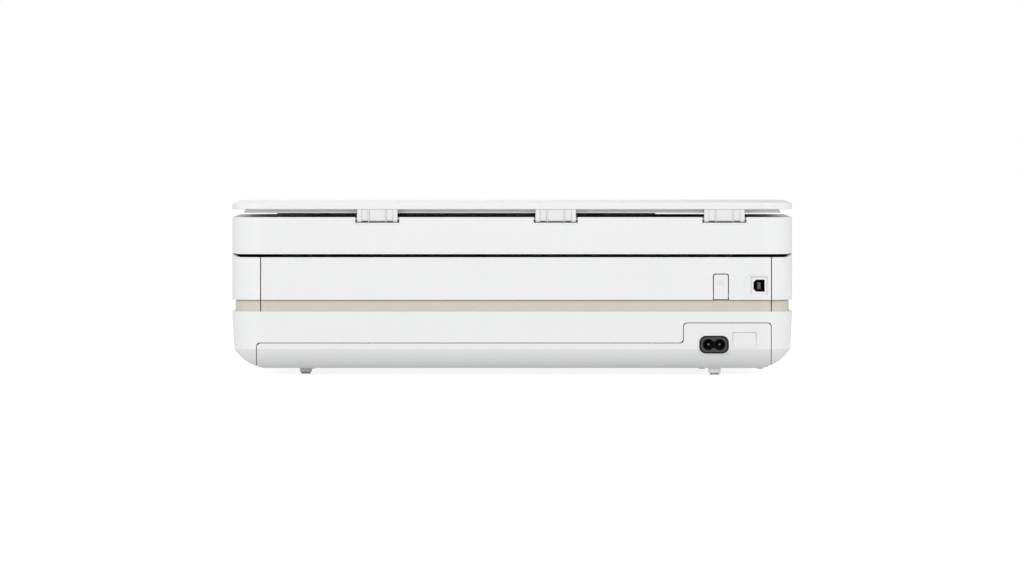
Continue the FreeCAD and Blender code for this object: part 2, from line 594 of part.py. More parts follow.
def usb_port():
    """Square data socket turned on its side: a metal shell with two bevelled corners, and its tongue."""
    w, h = USB_SHELL[0] / 2, USB_SHELL[1] / 2
    tw, th = USB_TONGUE[0] / 2, USB_TONGUE[1] / 2
    y1 = REAR - USB_SETBACK
    floor_y = y1 - USB_MOUTH_DEPTH
    shell = box(USB_X - w, USB_X + w, y1 - USB_DEPTH, y1, USB_Z - h, USB_Z + h)
    mouth = usb_outline(0, floor_y, y1 + 1)
    tongue = box(USB_X - tw, USB_X + tw, floor_y, y1 - 0.6, USB_Z - th, USB_Z + th)
    return shell.cut(mouth), tongue


def main_board():
    """Upright circuit board along the left side, with the larger parts on it."""
    x1 = USB_X - USB_SHELL[0] / 2
    board = box(x1 - 1.6, x1, REAR - 120, REAR - 8, 51, 88)
    chips = [
        box(x1, x1 + 1.6, REAR - 80, REAR - 60, 62, 82),
        box(x1, x1 + 1.2, REAR - 50, REAR - 38, 66, 76),
        box(x1, x1 + 6, REAR - 110, REAR - 92, 55, 60),
        bar_x(4, x1, x1 + 8, REAR - 30, 79),
    ]
    return board, chips


# ---- print engine ----
def gear_line():
    """Centres of the gears: (y, z), placed so that every pair is its pitch radii apart."""
    m = GEAR_MODULE / 2
    feed = (FEED_Y, FEED_Z)
    exit_ = (FEED_Y - ROLLER_PITCH, FEED_Z)
    idler = (FEED_Y - (FEED_TEETH + IDLER_TEETH) * m, FEED_Z)
    motor_way = math.radians(-120)
    reach = (FEED_TEETH + MOTOR_TEETH) * m
    motor = (FEED_Y + reach * math.cos(motor_way), FEED_Z + reach * math.sin(motor_way))
    train = (TURN_PINION_TEETH + 2 * TURN_IDLER_TEETH + TURN_TEETH) * m
    drop = FEED_Z - TURN_Z
    turn = (FEED_Y + math.sqrt(train ** 2 - drop ** 2), TURN_Z)
    share = (TURN_PINION_TEETH + TURN_IDLER_TEETH) * m / train
    turn_idler = (feed[0] + (turn[0] - feed[0]) * share, feed[1] + (turn[1] - feed[1]) * share)
    return {"feed": feed, "exit": exit_, "idler": idler, "motor": motor,
            "turn": turn, "turn_idler": turn_idler}


def engine_plates(at):
    """Side plates that carry the shafts, with a running bore for each."""
    y0, y1 = at["exit"][0] - 14, at["turn"][0] + 10
    plates = []
    for x0, x1 in ((PLATE_X0 - PLATE_T, PLATE_X0), (PLATE_X1, PLATE_X1 + PLATE_T)):
        plate = prism("yz", [(y0 + 12, PAN_FLOOR_Z), (y1 - 12, PAN_FLOOR_Z),
                             (y1, 24, 8), (y1, TURN_Z + 14, 8),
                             (FEED_Y + 80, 60, 6), (BEAM_Y + 4, 92, 4), (y0 + 18, 92, 4),
                             (y0, 72, 6), (y0, 36, 6)], x0, x1)
        for name in ("feed", "exit", "turn"):
            plate = plate.cut(bar_x(SHAFT_R + RUNNING, x0 - 1, x1 + 1, *at[name]))
        plate = plate.cut(bar_x(ROD_R, x0 - 1, x1 + 1, ROD_Y, ROD_Z))
        plate = plate.cut(box(x0 - 1, x1 + 1, BEAM_Y, BEAM_Y + 1.2, 52, 93))
        for r, (y, z) in ((2.0, pinch_axle()), (2.0, star_axle())):
            plate = plate.cut(bar_x(r + RUNNING, x0 - 1, x1 + 1, y, z))
        plates.append(plate)
    left = plates[0].cut(bar_x(MOTOR_SHAFT_R + RUNNING, PLATE_X0 - 5, PLATE_X0 + 1, *at["motor"]))
    stubs = [bar_x(STUB_R, GEAR_PLANE_1 - GEAR_WIDTH - 1, PLATE_X0 - PLATE_T + 0.1, *at["idler"]),
             bar_x(STUB_R, GEAR_PLANE_2 - GEAR_WIDTH - 1, PLATE_X0 - PLATE_T + 0.1, *at["turn_idler"])]
    return fuse(left, *stubs), plates[1]


def pinch_axle():
    return FEED_Y, PAPER_Z + NIP + PINCH_R


def star_axle():
    return FEED_Y - ROLLER_PITCH, PAPER_Z + NIP + STAR_R


def roller(at, name, r, spans, x0, x1):
    """Steel shaft and its rubber sleeves."""
    y, z = at[name]
    shaft = bar_x(SHAFT_R, x0, x1, y, z)
    sleeves = [bar_x(r, a, b, y, z).cut(bar_x(SHAFT_R, a - 1, b + 1, y, z)) for a, b in spans]
    return [shaft] + sleeves


def feed_gears(at):
    """The gears on the left of the engine, each with the phase that puts it in mesh."""
    phase = {"feed": 0.0}
    to_idler, to_motor = 180.0, -120.0
    phase["idler"] = mesh_phase(FEED_TEETH, 0.0, to_idler, IDLER_TEETH)
    phase["exit"] = mesh_phase(IDLER_TEETH, phase["idler"], to_idler, FEED_TEETH)
    phase["motor"] = mesh_phase(FEED_TEETH, 0.0, to_motor, MOTOR_TEETH)
    down = math.degrees(math.atan2(at["turn"][1] - at["feed"][1], at["turn"][0] - at["feed"][0]))
    phase["turn_idler"] = mesh_phase(TURN_PINION_TEETH, 0.0, down, TURN_IDLER_TEETH)
    phase["turn"] = mesh_phase(TURN_IDLER_TEETH, phase["turn_idler"], down, TURN_TEETH)
    return phase


def train_gear(at, phase, name, teeth, plane, bore):
    x0 = (GEAR_PLANE_1 if plane == 1 else GEAR_PLANE_2) - GEAR_WIDTH
    blank = gear(teeth, x0, *at[name], GEAR_WIDTH, phase[name], bore)
    if teeth > 30:      # lightening holes
        y, z = at[name]
        r = GEAR_MODULE * teeth / 4 + 2
        for k in range(5):
            a = math.radians(72 * k + 18)
            hole_y, hole_z = y + r * math.cos(a), z + r * math.sin(a)
            blank = blank.cut(bar_x(teeth * 0.09, x0 - 1, x0 + GEAR_WIDTH + 1, hole_y, hole_z))
    return blank


def shaft_left(plane):
    """Left end of a shaft that carries a gear in that row."""
    return (GEAR_PLANE_1 if plane == 1 else GEAR_PLANE_2) - GEAR_WIDTH - 1.0


def platen():
    """Ribbed table under the print heads."""
    y0, y1 = FEED_Y - ROLLER_PITCH + ROLLER_R + 1.5, FEED_Y - ROLLER_R - 1.5
    half = PRINT_HALF + 2
    table = box(-half, half, y0, y1, PAPER_Z - 7, PAPER_Z - 2)
    ribs = [box(x - 0.8, x + 0.8, y0 + 1, y1 - 1, PAPER_Z - 2.1, PAPER_Z - 0.4)
            for x in (-PRINT_HALF + 15 * k for k in range(int(2 * PRINT_HALF / 15) + 1))]
    ends = [box(PLATE_X0, 0.1 - half, y0, y0 + 4, PAPER_Z - 7, PAPER_Z - 4),
            box(half - 0.1, PLATE_X1, y0, y0 + 4, PAPER_Z - 7, PAPER_Z - 4)]
    return fuse(table, *ribs, *ends)


def star_wheels():
    """Thin spiked wheels that press the wet sheet on the exit roller, on one axle."""
    y, z = star_axle()
    axle = bar_x(2.0, PLATE_X0 - PLATE_T, PLATE_X1 + PLATE_T, y, z)
    wheels = [bar_x(STAR_R, x - 0.8, x + 0.8, y, z) for x in (-96, -72, -48, -24, 0, 24, 48, 72, 96)]
    return fuse(axle, *wheels)


def pinch_rollers():
    y, z = pinch_axle()
    axle = bar_x(2.0, PLATE_X0 - PLATE_T, PLATE_X1 + PLATE_T, y, z)
    sleeves = [bar_x(PINCH_R, x - 9, x + 9, y, z) for x in (-90, -54, -18, 18, 54, 90)]
    return fuse(axle, *sleeves)


def carriage_rails():
    """Folded sheet beam behind the carriage, and the rod that the carriage slides on."""
    upright = box(PLATE_X0 - PLATE_T, PLATE_X1 + PLATE_T, BEAM_Y, BEAM_Y + 1.2, 52, 92)
    ledge = box(PLATE_X0 + 1, PLATE_X1 - 1, BEAM_Y, BEAM_Y + 14, 50.8, 52)
    beam = fuse(upright, ledge)
    for x in belt_places():
        beam = beam.cut(bar_y(2.6, x, BEAM_Y - 1, BEAM_Y + 3, BELT_Z))
    rod = bar_x(ROD_R, PLATE_X0 - PLATE_T, PLATE_X1 + PLATE_T, ROD_Y, ROD_Z)
    return beam, rod


def belt_places():
    """X of the belt's drive pulley and of its idler."""
    return PLATE_X0 + 12, PLATE_X1 - 8


def belt_pulley(x):
    """Flanged pulley on a Y axle."""
    y1 = BEAM_Y - 1.0
    y0 = y1 - BELT_WIDTH - 2.4
    return fuse(bar_y(PULLEY_R, x, y0, y1, BELT_Z), bar_y(PULLEY_R + 1.8, x, y0, y0 + 1, BELT_Z),
                bar_y(PULLEY_R + 1.8, x, y1 - 1, y1, BELT_Z), bar_y(2.5, x, y1 - 0.1, BEAM_Y + 3, BELT_Z))


def carriage_belt():
    """Toothed belt round both pulleys, drawn as its plain loop."""
    left, right = belt_places()
    y1 = BEAM_Y - 2.3
    y0 = y1 - BELT_WIDTH + 0.2

    def loop(r):
        return prism("xz", [(left - r, BELT_Z - r, r - 0.001), (right + r, BELT_Z - r, r - 0.001),
                            (right + r, BELT_Z + r, r - 0.001), (left - r, BELT_Z + r, r - 0.001)], y0, y1)
    gap = RUNNING
    return loop(PULLEY_R + gap + BELT_T).cut(loop(PULLEY_R + gap))


def drive_motors(at):
    """Carriage motor behind the beam and feed motor inside the left plate."""
    left, _ = belt_places()
    carriage = fuse(bar_y(11, left, BEAM_Y + 4.2, BEAM_Y + 26, BELT_Z),
                    bar_y(5, left, BEAM_Y + 25, BEAM_Y + 28, BELT_Z),
                    box(left - 11, left + 11, BEAM_Y + 3.2, BEAM_Y + 4.4, BELT_Z - 11, BELT_Z + 11))
    y, z = at["motor"]
    feed = fuse(bar_x(12, PLATE_X0 + 1.4, PLATE_X0 + 30, y, z), bar_x(5, PLATE_X0 + 29, PLATE_X0 + 33, y, z),
                box(PLATE_X0 + 0.2, PLATE_X0 + 1.6, y - 12, y + 12, z - 12, z + 12))
    return carriage, feed


def motor_pinion(at, phase):
    """Pinion and its shaft, which runs through the motor's plate."""
    y, z = at["motor"]
    pinion = train_gear(at, phase, "motor", MOTOR_TEETH, 1, 0)
    return fuse(pinion, bar_x(MOTOR_SHAFT_R, GEAR_PLANE_1 - 0.1, PLATE_X0 + 0.1, y, z))


def carriage():
    """Open box with a bay for each cartridge, and a sleeve on the rod."""
    x1 = PLATE_X1 - CARRIAGE_PARK_GAP
    x0 = x1 - CARRIAGE_WIDTH
    middle = (x0 + x1) / 2
    step_y, step_z = carriage_step()
    body = box(x0, x1, CARRIAGE_Y0, CARRIAGE_Y1, CARRIAGE_Z, CARRIAGE_TOP_Z)
    body = body.cut(box(x0 - 1, x1 + 1, step_y, CARRIAGE_Y1 + 1, CARRIAGE_Z - 1, step_z))
    for a, b in bay_spans():
        body = body.cut(prism("yz", [(CARRIAGE_Y0 - 1, CARRIAGE_Z + 2),
                                     (step_y - 2, CARRIAGE_Z + 2), (step_y - 2, step_z + 2),
                                     (CARRIAGE_Y1 - 2, step_z + 2), (CARRIAGE_Y1 - 2, CARRIAGE_TOP_Z + 1),
                                     (CARRIAGE_Y0 - 1, CARRIAGE_TOP_Z + 1)], a, b))
        body = body.cut(box(a + 5, b - 5, CARRIAGE_Y0 + 12, CARRIAGE_Y0 + 32, CARRIAGE_Z - 1, CARRIAGE_Z + 3))
    sills = [box(a - 0.1, b + 0.1, CARRIAGE_Y0, CARRIAGE_Y0 + 2, CARRIAGE_Z, CARRIAGE_Z + 5)
             for a, b in bay_spans()]
    sleeves = []
    for x in (x0 + 8, x1 - 8):
        sleeves += [box(x - 7, x + 7, CARRIAGE_Y1 - 0.1, ROD_Y + 1, ROD_Z - 5.2, ROD_Z + 5.2),
                    bar_x(5.2, x - 7, x + 7, ROD_Y + 1, ROD_Z)]
    clamp = fuse(box(middle - 6, middle + 6, CARRIAGE_Y1 - 0.1, BEAM_Y - 2.6, ROD_Z + 6.2, ROD_Z + 7.6),
                 box(middle - 6, middle + 6, CARRIAGE_Y1 - 0.1, CARRIAGE_Y1 + 3, ROD_Z, ROD_Z + 7))
    body = fuse(body, *sills, *sleeves, clamp)
    body = body.cut(bar_x(ROD_R + RUNNING, x0 - 1, x1 + 1, ROD_Y, ROD_Z))
    for a, b in bay_spans():
        body = body.cut(bar_x(1.0, a - 1.1, b + 1.1, *latch_axle()))
    return body


def carriage_step():
    """Y and Z of the step in the carriage's underside."""
    return FEED_Y - PINCH_R - 2.5, CARRIAGE_Z + CARRIAGE_STEP


def bay_spans():
    """X range of each cartridge bay."""
    x1 = PLATE_X1 - CARRIAGE_PARK_GAP
    wall = 2.5
    bay = (CARRIAGE_WIDTH - 3 * wall) / 2
    return [(x1 - wall - bay, x1 - wall), (x1 - 2 * wall - 2 * bay, x1 - 2 * wall - bay)]


def latch_axle():
    return CARRIAGE_Y0 + 3.0, CARRIAGE_Z + 8.0


def cartridge(span):
    """Ink cartridge: block with a sloping grip and the narrower print head below."""
    a, b = span[0] + SLIDING, span[1] - SLIDING
    y0, y1 = CARRIAGE_Y0 + 6.0, CARRIAGE_Y1 - 2.0 - SLIDING
    z0, z1 = CARRIAGE_Z + 2.2, CARRIAGE_TOP_Z - 2
    step_y, step_z = carriage_step()
    step_y, step_z = step_y - 2 - SLIDING, step_z + 2.2
    block = prism("yz", [(y0, z0), (step_y, z0), (step_y, step_z),
                         (y1, step_z), (y1, z1 - 2, 2), (y1 - 14, z1, 2),
                         (y0 + 4, z1, 2), (y0, z1 - 6, 2)], a, b)
    head = box(a + 5, b - 5, CARRIAGE_Y0 + 12.4, CARRIAGE_Y0 + 31.6, PAPER_Z + 1.2, z0 + 0.1)
    return fuse(block, head)


def cartridge_latch(span):
    """Front flap that holds a cartridge back; it tips forward on two side pins."""
    a, b = span[0] + SLIDING, span[1] - SLIDING
    y, z = latch_axle()
    flap = box(a, b, y - 2.0, y + 1.0, z - 1.6, CARRIAGE_TOP_Z - 3)
    lip = box(a + 8, b - 8, y - 4.5, y - 1.9, CARRIAGE_TOP_Z - 7, CARRIAGE_TOP_Z - 4)
    pins = bar_x(1.0 - RUNNING, span[0] - 1.0, span[1] + 1.0, y, z)
    hub = bar_x(2.0, a, b, y, z)
    return fuse(flap, lip, pins, hub)


def service_sled():
    """Sled with the two rubber caps that seal the parked print heads."""
    spans = bay_spans()
    x0, x1 = spans[1][0] - 1, spans[0][1] + 1
    y0, y1 = CARRIAGE_Y0 + 8, CARRIAGE_Y0 + 36
    sled = box(x0, x1, y0, y1, PAPER_Z - 16, PAPER_Z - 6)
    sled = sled.cut(box(x0 + 2, x1 - 2, y0 + 2, y1 - 2, PAPER_Z - 14, PAPER_Z))
    posts = [box(a + 8, b - 8, y0 + 1.9, y1 - 1.9, PAPER_Z - 14.1, PAPER_Z - 4) for a, b in spans]
    caps = []
    for a, b in spans:
        cap = box(a + 7, b - 7, y0 + 5, y1 - 5, PAPER_Z - 4, PAPER_Z + 0.8)
        caps.append(cap.cut(box(a + 9, b - 9, y0 + 7, y1 - 7, PAPER_Z - 1.5, PAPER_Z + 2)))
    return [fuse(sled, *posts)] + caps


def rear_paper_guide(at):
    """Curved channel behind the turn drums, with webs down to the pan."""
    y, z = at["turn"]
    half = PRINT_HALF + 2
    outer, inner = TURN_R + 4.4, TURN_R + 2.2
    channel = bar_x(outer, -half, half, y, z).cut(bar_x(inner, -half - 1, half + 1, y, z))
    channel = channel.cut(box(-half - 1, half + 1, y - 40, y, z - 40, z + 40))
    webs = [box(x - 1.2, x + 1.2, y + 2, y + outer - 3.5, PAN_FLOOR_Z + 0.4, z - 8).cut(
        bar_x(outer - 0.5, x - 2, x + 2, y, z)) for x in (-100, -50, 50, 100)]
    ramp = prism("yz", [(TRAY_REAR_Y + 2, PAN_FLOOR_Z + 0.4), (TRAY_REAR_Y + 8, PAN_FLOOR_Z + 0.4),
                        (y + 1, z - outer), (y + 1, z - inner - 0.3)], -half, half)
    return fuse(channel, *webs, ramp)


def pick_arm(at):
    """Swinging arm on the turn shaft that carries the pick roller."""
    y, z = at["turn"]
    py, pz = pick_axle(at)
    arms = []
    for x in (-9.5, 7.5):
        way = math.atan2(pz - z, py - y)
        ny, nz = -math.sin(way), math.cos(way)
        strip = prism("yz", [(y + 6 * ny, z + 6 * nz), (y - 6 * ny, z - 6 * nz), (py - 4 * ny, pz - 4 * nz),
                             (py + 4 * ny, pz + 4 * nz)], x, x + 2)
        arms += [strip, bar_x(7, x, x + 2, y, z), bar_x(4, x, x + 2, py, pz)]
    bridge_y, bridge_z = y + (py - y) * 0.42, z + (pz - z) * 0.42
    arms.append(box(-9, 9, bridge_y - 2, bridge_y + 2, bridge_z - 1, bridge_z + 4))
    arm = fuse(*arms)
    arm = arm.cut(bar_x(SHAFT_R + RUNNING, -20, 20, y, z))
    return arm.cut(bar_x(2.0 + RUNNING, -20, 20, py, pz))


def pick_axle(at):
    y, z = at["turn"]
    pz = TRAY_FLOOR_Z + TRAY_WALL + 0.4 + PICK_R
    return y - math.sqrt(PICK_REACH ** 2 - (z - pz) ** 2), pz


def pick_roller(at):
    py, pz = pick_axle(at)
    return fuse(bar_x(PICK_R, -7.2, 7.2, py, pz), bar_x(2.0, -10.5, 10.5, py, pz))


# ---- tray and output ----
def tray_body():
    """Paper tray: walls round a raised floor, open behind where the pick arm reaches in."""
    y0, y1 = FRONT + 5.0, TRAY_REAR_Y
    tray = box(-TRAY_HALF, TRAY_HALF, y0, y1, TRAY_BOTTOM_Z, TRAY_TOP_Z)
    inner = TRAY_HALF - TRAY_WALL
    tray = tray.cut(box(-inner, inner, y0 + TRAY_WALL, y1 - TRAY_WALL,
                        TRAY_FLOOR_Z + TRAY_WALL, TRAY_TOP_Z + 1))
    tray = tray.cut(box(-inner, inner, y0 + TRAY_WALL, y1 - TRAY_WALL, TRAY_BOTTOM_Z - 1, TRAY_FLOOR_Z))
    tray = tray.cut(box(-32, 32, y1 - 20, y1 + 1, TRAY_FLOOR_Z + TRAY_WALL, TRAY_TOP_Z + 1))
    tray = tray.cut(box(-inner, inner, y1 - 5, y1 + 1, TRAY_FLOOR_Z + TRAY_WALL + 6, TRAY_TOP_Z + 1))
    for side in (-1, 1):
        y = GUIDE_Y - side * rack_offset()
        xs = sorted((-side * (GUIDE_HALF + 1), -side * (GUIDE_HALF - GUIDE_TRAVEL - 9)))
        tray = tray.cut(box(xs[0], xs[1], y - 2.4, y + 2.4, TRAY_FLOOR_Z - 1, TRAY_FLOOR_Z + TRAY_WALL + 1))
    hub = bar_z(2.0, 0, GUIDE_Y, TRAY_BOTTOM_Z + 0.2, TRAY_FLOOR_Z + 0.1)
    outside = base_bulk(WALL + 0.3)
    lining = outside.cut(base_bulk(WALL + 0.3 + TRAY_WALL)).common(
        box(-TRAY_HALF, TRAY_HALF, y0, y0 + 24, TRAY_BOTTOM_Z, TRAY_FLOOR_Z + 12))
    return fuse(tray.common(outside), hub, lining)


def rack_offset():
    """From the pinion's centre to the middle of each rack's bar."""
    return GEAR_MODULE * GUIDE_TEETH / 2 + 3.0


def tray_front(base_shell):
    """Front of the tray, which follows the casing's curve, with a finger recess."""
    region = box(-TRAY_FRONT_HALF, TRAY_FRONT_HALF, FRONT - 1, FRONT + 24,
                 PAN_FLOOR_Z + SEAM, TRAY_FRONT_TOP_Z)
    front = base_shell.common(region)
    front = fuse(front, box(-TRAY_HALF, TRAY_HALF, FRONT + 1.5, FRONT + 5.0, 24, TRAY_TOP_Z))
    scoop = prism("xz", [(-32, TRAY_FRONT_TOP_Z + 1), (-32, 31, 5), (32, 31, 5), (32, TRAY_FRONT_TOP_Z + 1)],
                  FRONT - 1, FRONT + 3.4)
    pocket = box(-32, 32, FRONT - 1, FRONT + 3.4, TRAY_TOP_Z - 3, TRAY_FRONT_TOP_Z + 1)
    return front.cut(scoop).cut(pocket)


def width_guide(side):
    """Guide for one edge of the sheets, with its rack under the tray's floor. side is -1 for the left one."""
    y_rack = GUIDE_Y + side * rack_offset()
    outer = side * GUIDE_HALF
    inner = side * (GUIDE_HALF - 2.5)
    floor_top = TRAY_FLOOR_Z + TRAY_WALL + 0.3
    fence = box(min(outer, inner), max(outer, inner), GUIDE_Y - 40, GUIDE_Y + 40, floor_top, TRAY_TOP_Z - 1)
    xs = sorted((outer, side * (GUIDE_HALF - 8)))
    foot = box(xs[0], xs[1], y_rack - 9, y_rack + 9, floor_top, floor_top + 1.6)
    stem = box(xs[0], xs[1], y_rack - 2.0, y_rack + 2.0, TRAY_FLOOR_Z - 0.6, floor_top + 0.1)
    z0, z1 = TRAY_BOTTOM_Z + 0.4, TRAY_FLOOR_Z - 0.3
    far = -side * 14.0
    xs = sorted((outer, far))
    bar = box(xs[0], xs[1], y_rack - 1.4, y_rack + 1.4, z0, z1)
    root = y_rack - side * 1.3
    pitch = math.pi * GEAR_MODULE
    teeth = []
    for k in range(-40, 41):
        x = (k + 0.5) * pitch
        if xs[0] + pitch < x < xs[1] - pitch:
            teeth.append(rack_tooth(x, root, -side, z0, z1))
    return fuse(fence, foot, stem, bar, *teeth)


def rack_tooth(x, root_y, way, z0, z1):
    """Straight-sided rack tooth that points along way on Y. Its pitch line is 1.7 from the root."""
    half = math.pi * GEAR_MODULE / 4 - 0.08
    slope = math.tan(math.radians(20))
    low, high = half + 1.7 * slope, half - 0.85 * slope
    tip = root_y + way * 2.55 * GEAR_MODULE
    return prism("xy", [(x - low, root_y), (x + low, root_y), (x + high, tip), (x - high, tip)], z0, z1)


def guide_pinion():
    """Pinion that keeps the two width guides centred."""
    z0, z1 = TRAY_BOTTOM_Z + 0.4, TRAY_FLOOR_Z - 0.3
    face = Part.Face(Part.Wire(gear_edges(GUIDE_TEETH, GEAR_MODULE * GUIDE_TEETH / 2, -90.0)))
    pinion = face.extrude(V(0, 0, z1 - z0))
    pinion.translate(V(0, GUIDE_Y, z0))
    return pinion.cut(bar_z(2.0 + RUNNING, 0, GUIDE_Y, z0 - 1, z1 + 1))


def output_deck():
    """Fixed deck over the paper tray where printed sheets land, with a slot for the extender."""
    half = TRAY_FRONT_HALF
    lip = box(-half, half, FRONT, FRONT + WALL, TRAY_FRONT_TOP_Z + SEAM, BASE_TOP_Z - 0.2)
    plate = box(-half, half, FRONT + WALL - 0.1, DECK_REAR_Y, DECK_Z, DECK_Z + DECK_T)
    sides = [box(x - 1.5, x + 1.5, FRONT + 6, DECK_REAR_Y, TRAY_TOP_Z + 2, DECK_Z + 0.1)
             for x in (-half + 1.5, -TRAY_HALF - 6, TRAY_HALF + 6, half - 1.5)]
    ribs = [box(x - 0.7, x + 0.7, FRONT + 30, DECK_REAR_Y - 4, DECK_Z + DECK_T - 0.1, DECK_Z + DECK_T + 0.9)
            for x in (-100, -80, -60, 60, 80, 100)]
    deck = fuse(lip, plate, *sides, *ribs)
    half_slot, slot_y = EXTENDER_HALF + SLIDING, FRONT + 24 + SLIDING
    return deck.cut(box(-half_slot, half_slot, FRONT - 1, slot_y, TRAY_FRONT_TOP_Z, BASE_TOP_Z + 1))


def extender_rear():
    return DECK_REAR_Y - 8.0


def output_extender():
    """Sliding support for long sheets: a thick front edge on a thin plate under the deck."""
    half = EXTENDER_HALF
    z0 = TRAY_FRONT_TOP_Z + SEAM + 0.3
    front = box(-half, half, FRONT + 0.1, FRONT + 24, z0, BASE_TOP_Z - 0.4)
    plate = box(-half + 4, half - 4, FRONT + 20, extender_rear(), z0, DECK_Z - SLIDING)
    recess = box(-half + 12, half - 12, FRONT + 2.0, FRONT + 22, BASE_TOP_Z - 3.2, BASE_TOP_Z + 1)
    extender = fuse(front, plate).cut(recess)
    return extender.cut(bar_x(0.8 + RUNNING, -half + 8, half - 8, FRONT + 4.4, BASE_TOP_Z - 1.8))


def paper_stop():
    """Flap at the extender's front edge that stops the sheets when it stands up."""
    half = EXTENDER_HALF - 12 - SLIDING
    y, z = FRONT + 4.4, BASE_TOP_Z - 1.8
    flap = box(-half, half, y, FRONT + 21, BASE_TOP_Z - 2.6, BASE_TOP_Z - 0.6)
    return fuse(flap, bar_x(1.2, -half, half, y, z), bar_x(0.8, -half - 3.5, half + 3.5, y, z))


def inner_deck():
    """Dark inner cover that frames the carriage's path when the scanner unit is up."""
    z0, z1 = RIM_Z - 4.2, RIM_Z - 2.4
    deck = plan_slab(WALL + 0.3, z0, z1)
    window = round_slab(PLATE_X0 - PLATE_T - 1, PLATE_X1 + PLATE_T + 1,
                        CARRIAGE_Y0 - 26, BEAM_Y + 32, z0 - 1, z1 + 1, 6)
    rear = box(-HALF_W, HALF_W, REAR - 34, REAR + 1, z0 - 1, z1 + 1)
    return deck.cut(window).cut(rear)


def output_frame():
    """Dark surround inside the output opening."""
    y0, y1 = FRONT + WALL + 0.1, CARRIAGE_Y0 - 27
    z0, z1 = BAND_TOP_Z + 2.2, RIM_Z - 4.3
    top = box(-OPENING_HALF - 2, OPENING_HALF + 2, y0, y1, OPENING_TOP_Z + 0.4, z1)
    sides = [box(x - 0.9, x + 0.9, y0 + 4, y1, DECK_Z + DECK_T + 0.2, z1)
             for x in (-OPENING_HALF - 1.2, OPENING_HALF + 1.2)]
    frame = fuse(top, *sides)
    return frame.cut(box(-OPENING_HALF, OPENING_HALF, FRONT, y1 + 1, TRAY_FRONT_TOP_Z, z0))


# ---- scanner unit and lid ----
def tub_outer():
    return HALF_W - WALL - 0.3, REAR - WALL - 0.3


def hinge_ear(x0, x1, r):
    """Bracket outline from the scanner's pivot forward and down to its post."""
    y, z = SCANNER_PIVOT_Y, SCANNER_PIVOT_Z
    k = math.sqrt(0.5) * r
    strip = prism("yz", [(y - k, z + k), (y + k, z - k), (y - 14 + k, z - 14 - k), (y - 14 - k, z - 14 + k)],
                  x0, x1)
    post = box(x0, x1, y - 18, y - 12, BAND_TOP_Z + 2.0, z - 11)
    return [strip, bar_x(r, x0, x1, y, z), post]


def scanner_hinge_brackets():
    """Two forked brackets on the base and the pins that the scanner unit turns on."""
    pieces = []
    for x in SCANNER_HINGE_X:
        gap = KNUCKLE_WIDTH / 2 + 0.4
        ears = hinge_ear(x - gap - 3, x - gap, KNUCKLE_R) + hinge_ear(x + gap, x + gap + 3, KNUCKLE_R)
        y = SCANNER_PIVOT_Y
        foot = box(x - gap - 6, x + gap + 6, y - 22, y + 0.5, BAND_TOP_Z + 2.0, BAND_TOP_Z + 5)
        bracket = fuse(*ears, foot)
        pieces.append(bracket.cut(bar_x(HINGE_PIN_R, x - 20, x + 20, y, SCANNER_PIVOT_Z)))
        pieces.append(bar_x(HINGE_PIN_R, x - gap - 3, x + gap + 3, y, SCANNER_PIVOT_Z))
    return pieces


def lid_pocket_floor():
    return LID_PIVOT_Z - LID_BARREL_R - LID_BARREL_GAP


def lid_pocket(x):
    """Space for one lid hinge, and the shallow step in the wall below it."""
    half, floor_z = LID_HINGE_POCKET / 2, lid_pocket_floor()
    pocket = box(x - half, x + half, REAR - 11.0, REAR + 1, floor_z, SCANNER_TOP_Z + 1)
    return fuse(pocket, box(x - half, x + half, REAR - 0.4, REAR + 1, floor_z - 1.2, floor_z + 0.1))


def scanner_case():
    """Outer walls and bezel of the scanner unit, with the glass window and three lid hinge pockets."""
    wall = plan_ring(0, WALL, CASE_REAR_Z, GLASS_Z + 0.1)
    top = plan_slab(0, GLASS_Z, SCANNER_TOP_Z)
    rim = [e for e in top.Edges if abs(e.BoundBox.ZMin - SCANNER_TOP_Z) < 1e-6]
    top = top.makeFillet(0.9, rim)
    blocks = [box(x - LID_HINGE_POCKET / 2 - 2.5, x + LID_HINGE_POCKET / 2 + 2.5, REAR - 13.5, REAR - 1,
                  lid_pocket_floor() - 2.2, GLASS_Z + 0.1) for x in LID_HINGE_X]
    case = fuse(wall, top, *blocks)
    for x in LID_HINGE_X:
        half = LID_HINGE_POCKET / 2 + LID_PIN_GRIP
        case = case.cut(lid_pocket(x))
        case = case.cut(bar_x(LID_PIN_R, x - half, x + half, LID_PIVOT_Y, LID_PIVOT_Z))
    case = case.cut(box(GLASS_X0, GLASS_X1, GLASS_Y0, GLASS_Y1, GLASS_Z - 5, SCANNER_TOP_Z + 1))
    step = prism("yz", [(FRONT - 1, CASE_REAR_Z - 1), (RIM_RAMP[1], CASE_REAR_Z - 1),
                        (RIM_RAMP[1], CASE_REAR_Z),
                        (RIM_RAMP[0], CASE_SIDE_Z), (FRONT - 1, CASE_SIDE_Z)], -HALF_W - 1, HALF_W + 1)
    grip_z = CASE_SIDE_Z + 3.0
    grip = prism("yz", [(FRONT + 60, CASE_SIDE_Z - 2), (FRONT + 66, grip_z, 2), (FRONT + 114, grip_z, 2),
                        (FRONT + 120, CASE_SIDE_Z - 2)], -HALF_W - 1, HALF_W + 1)
    return case.cut(step).cut(grip)


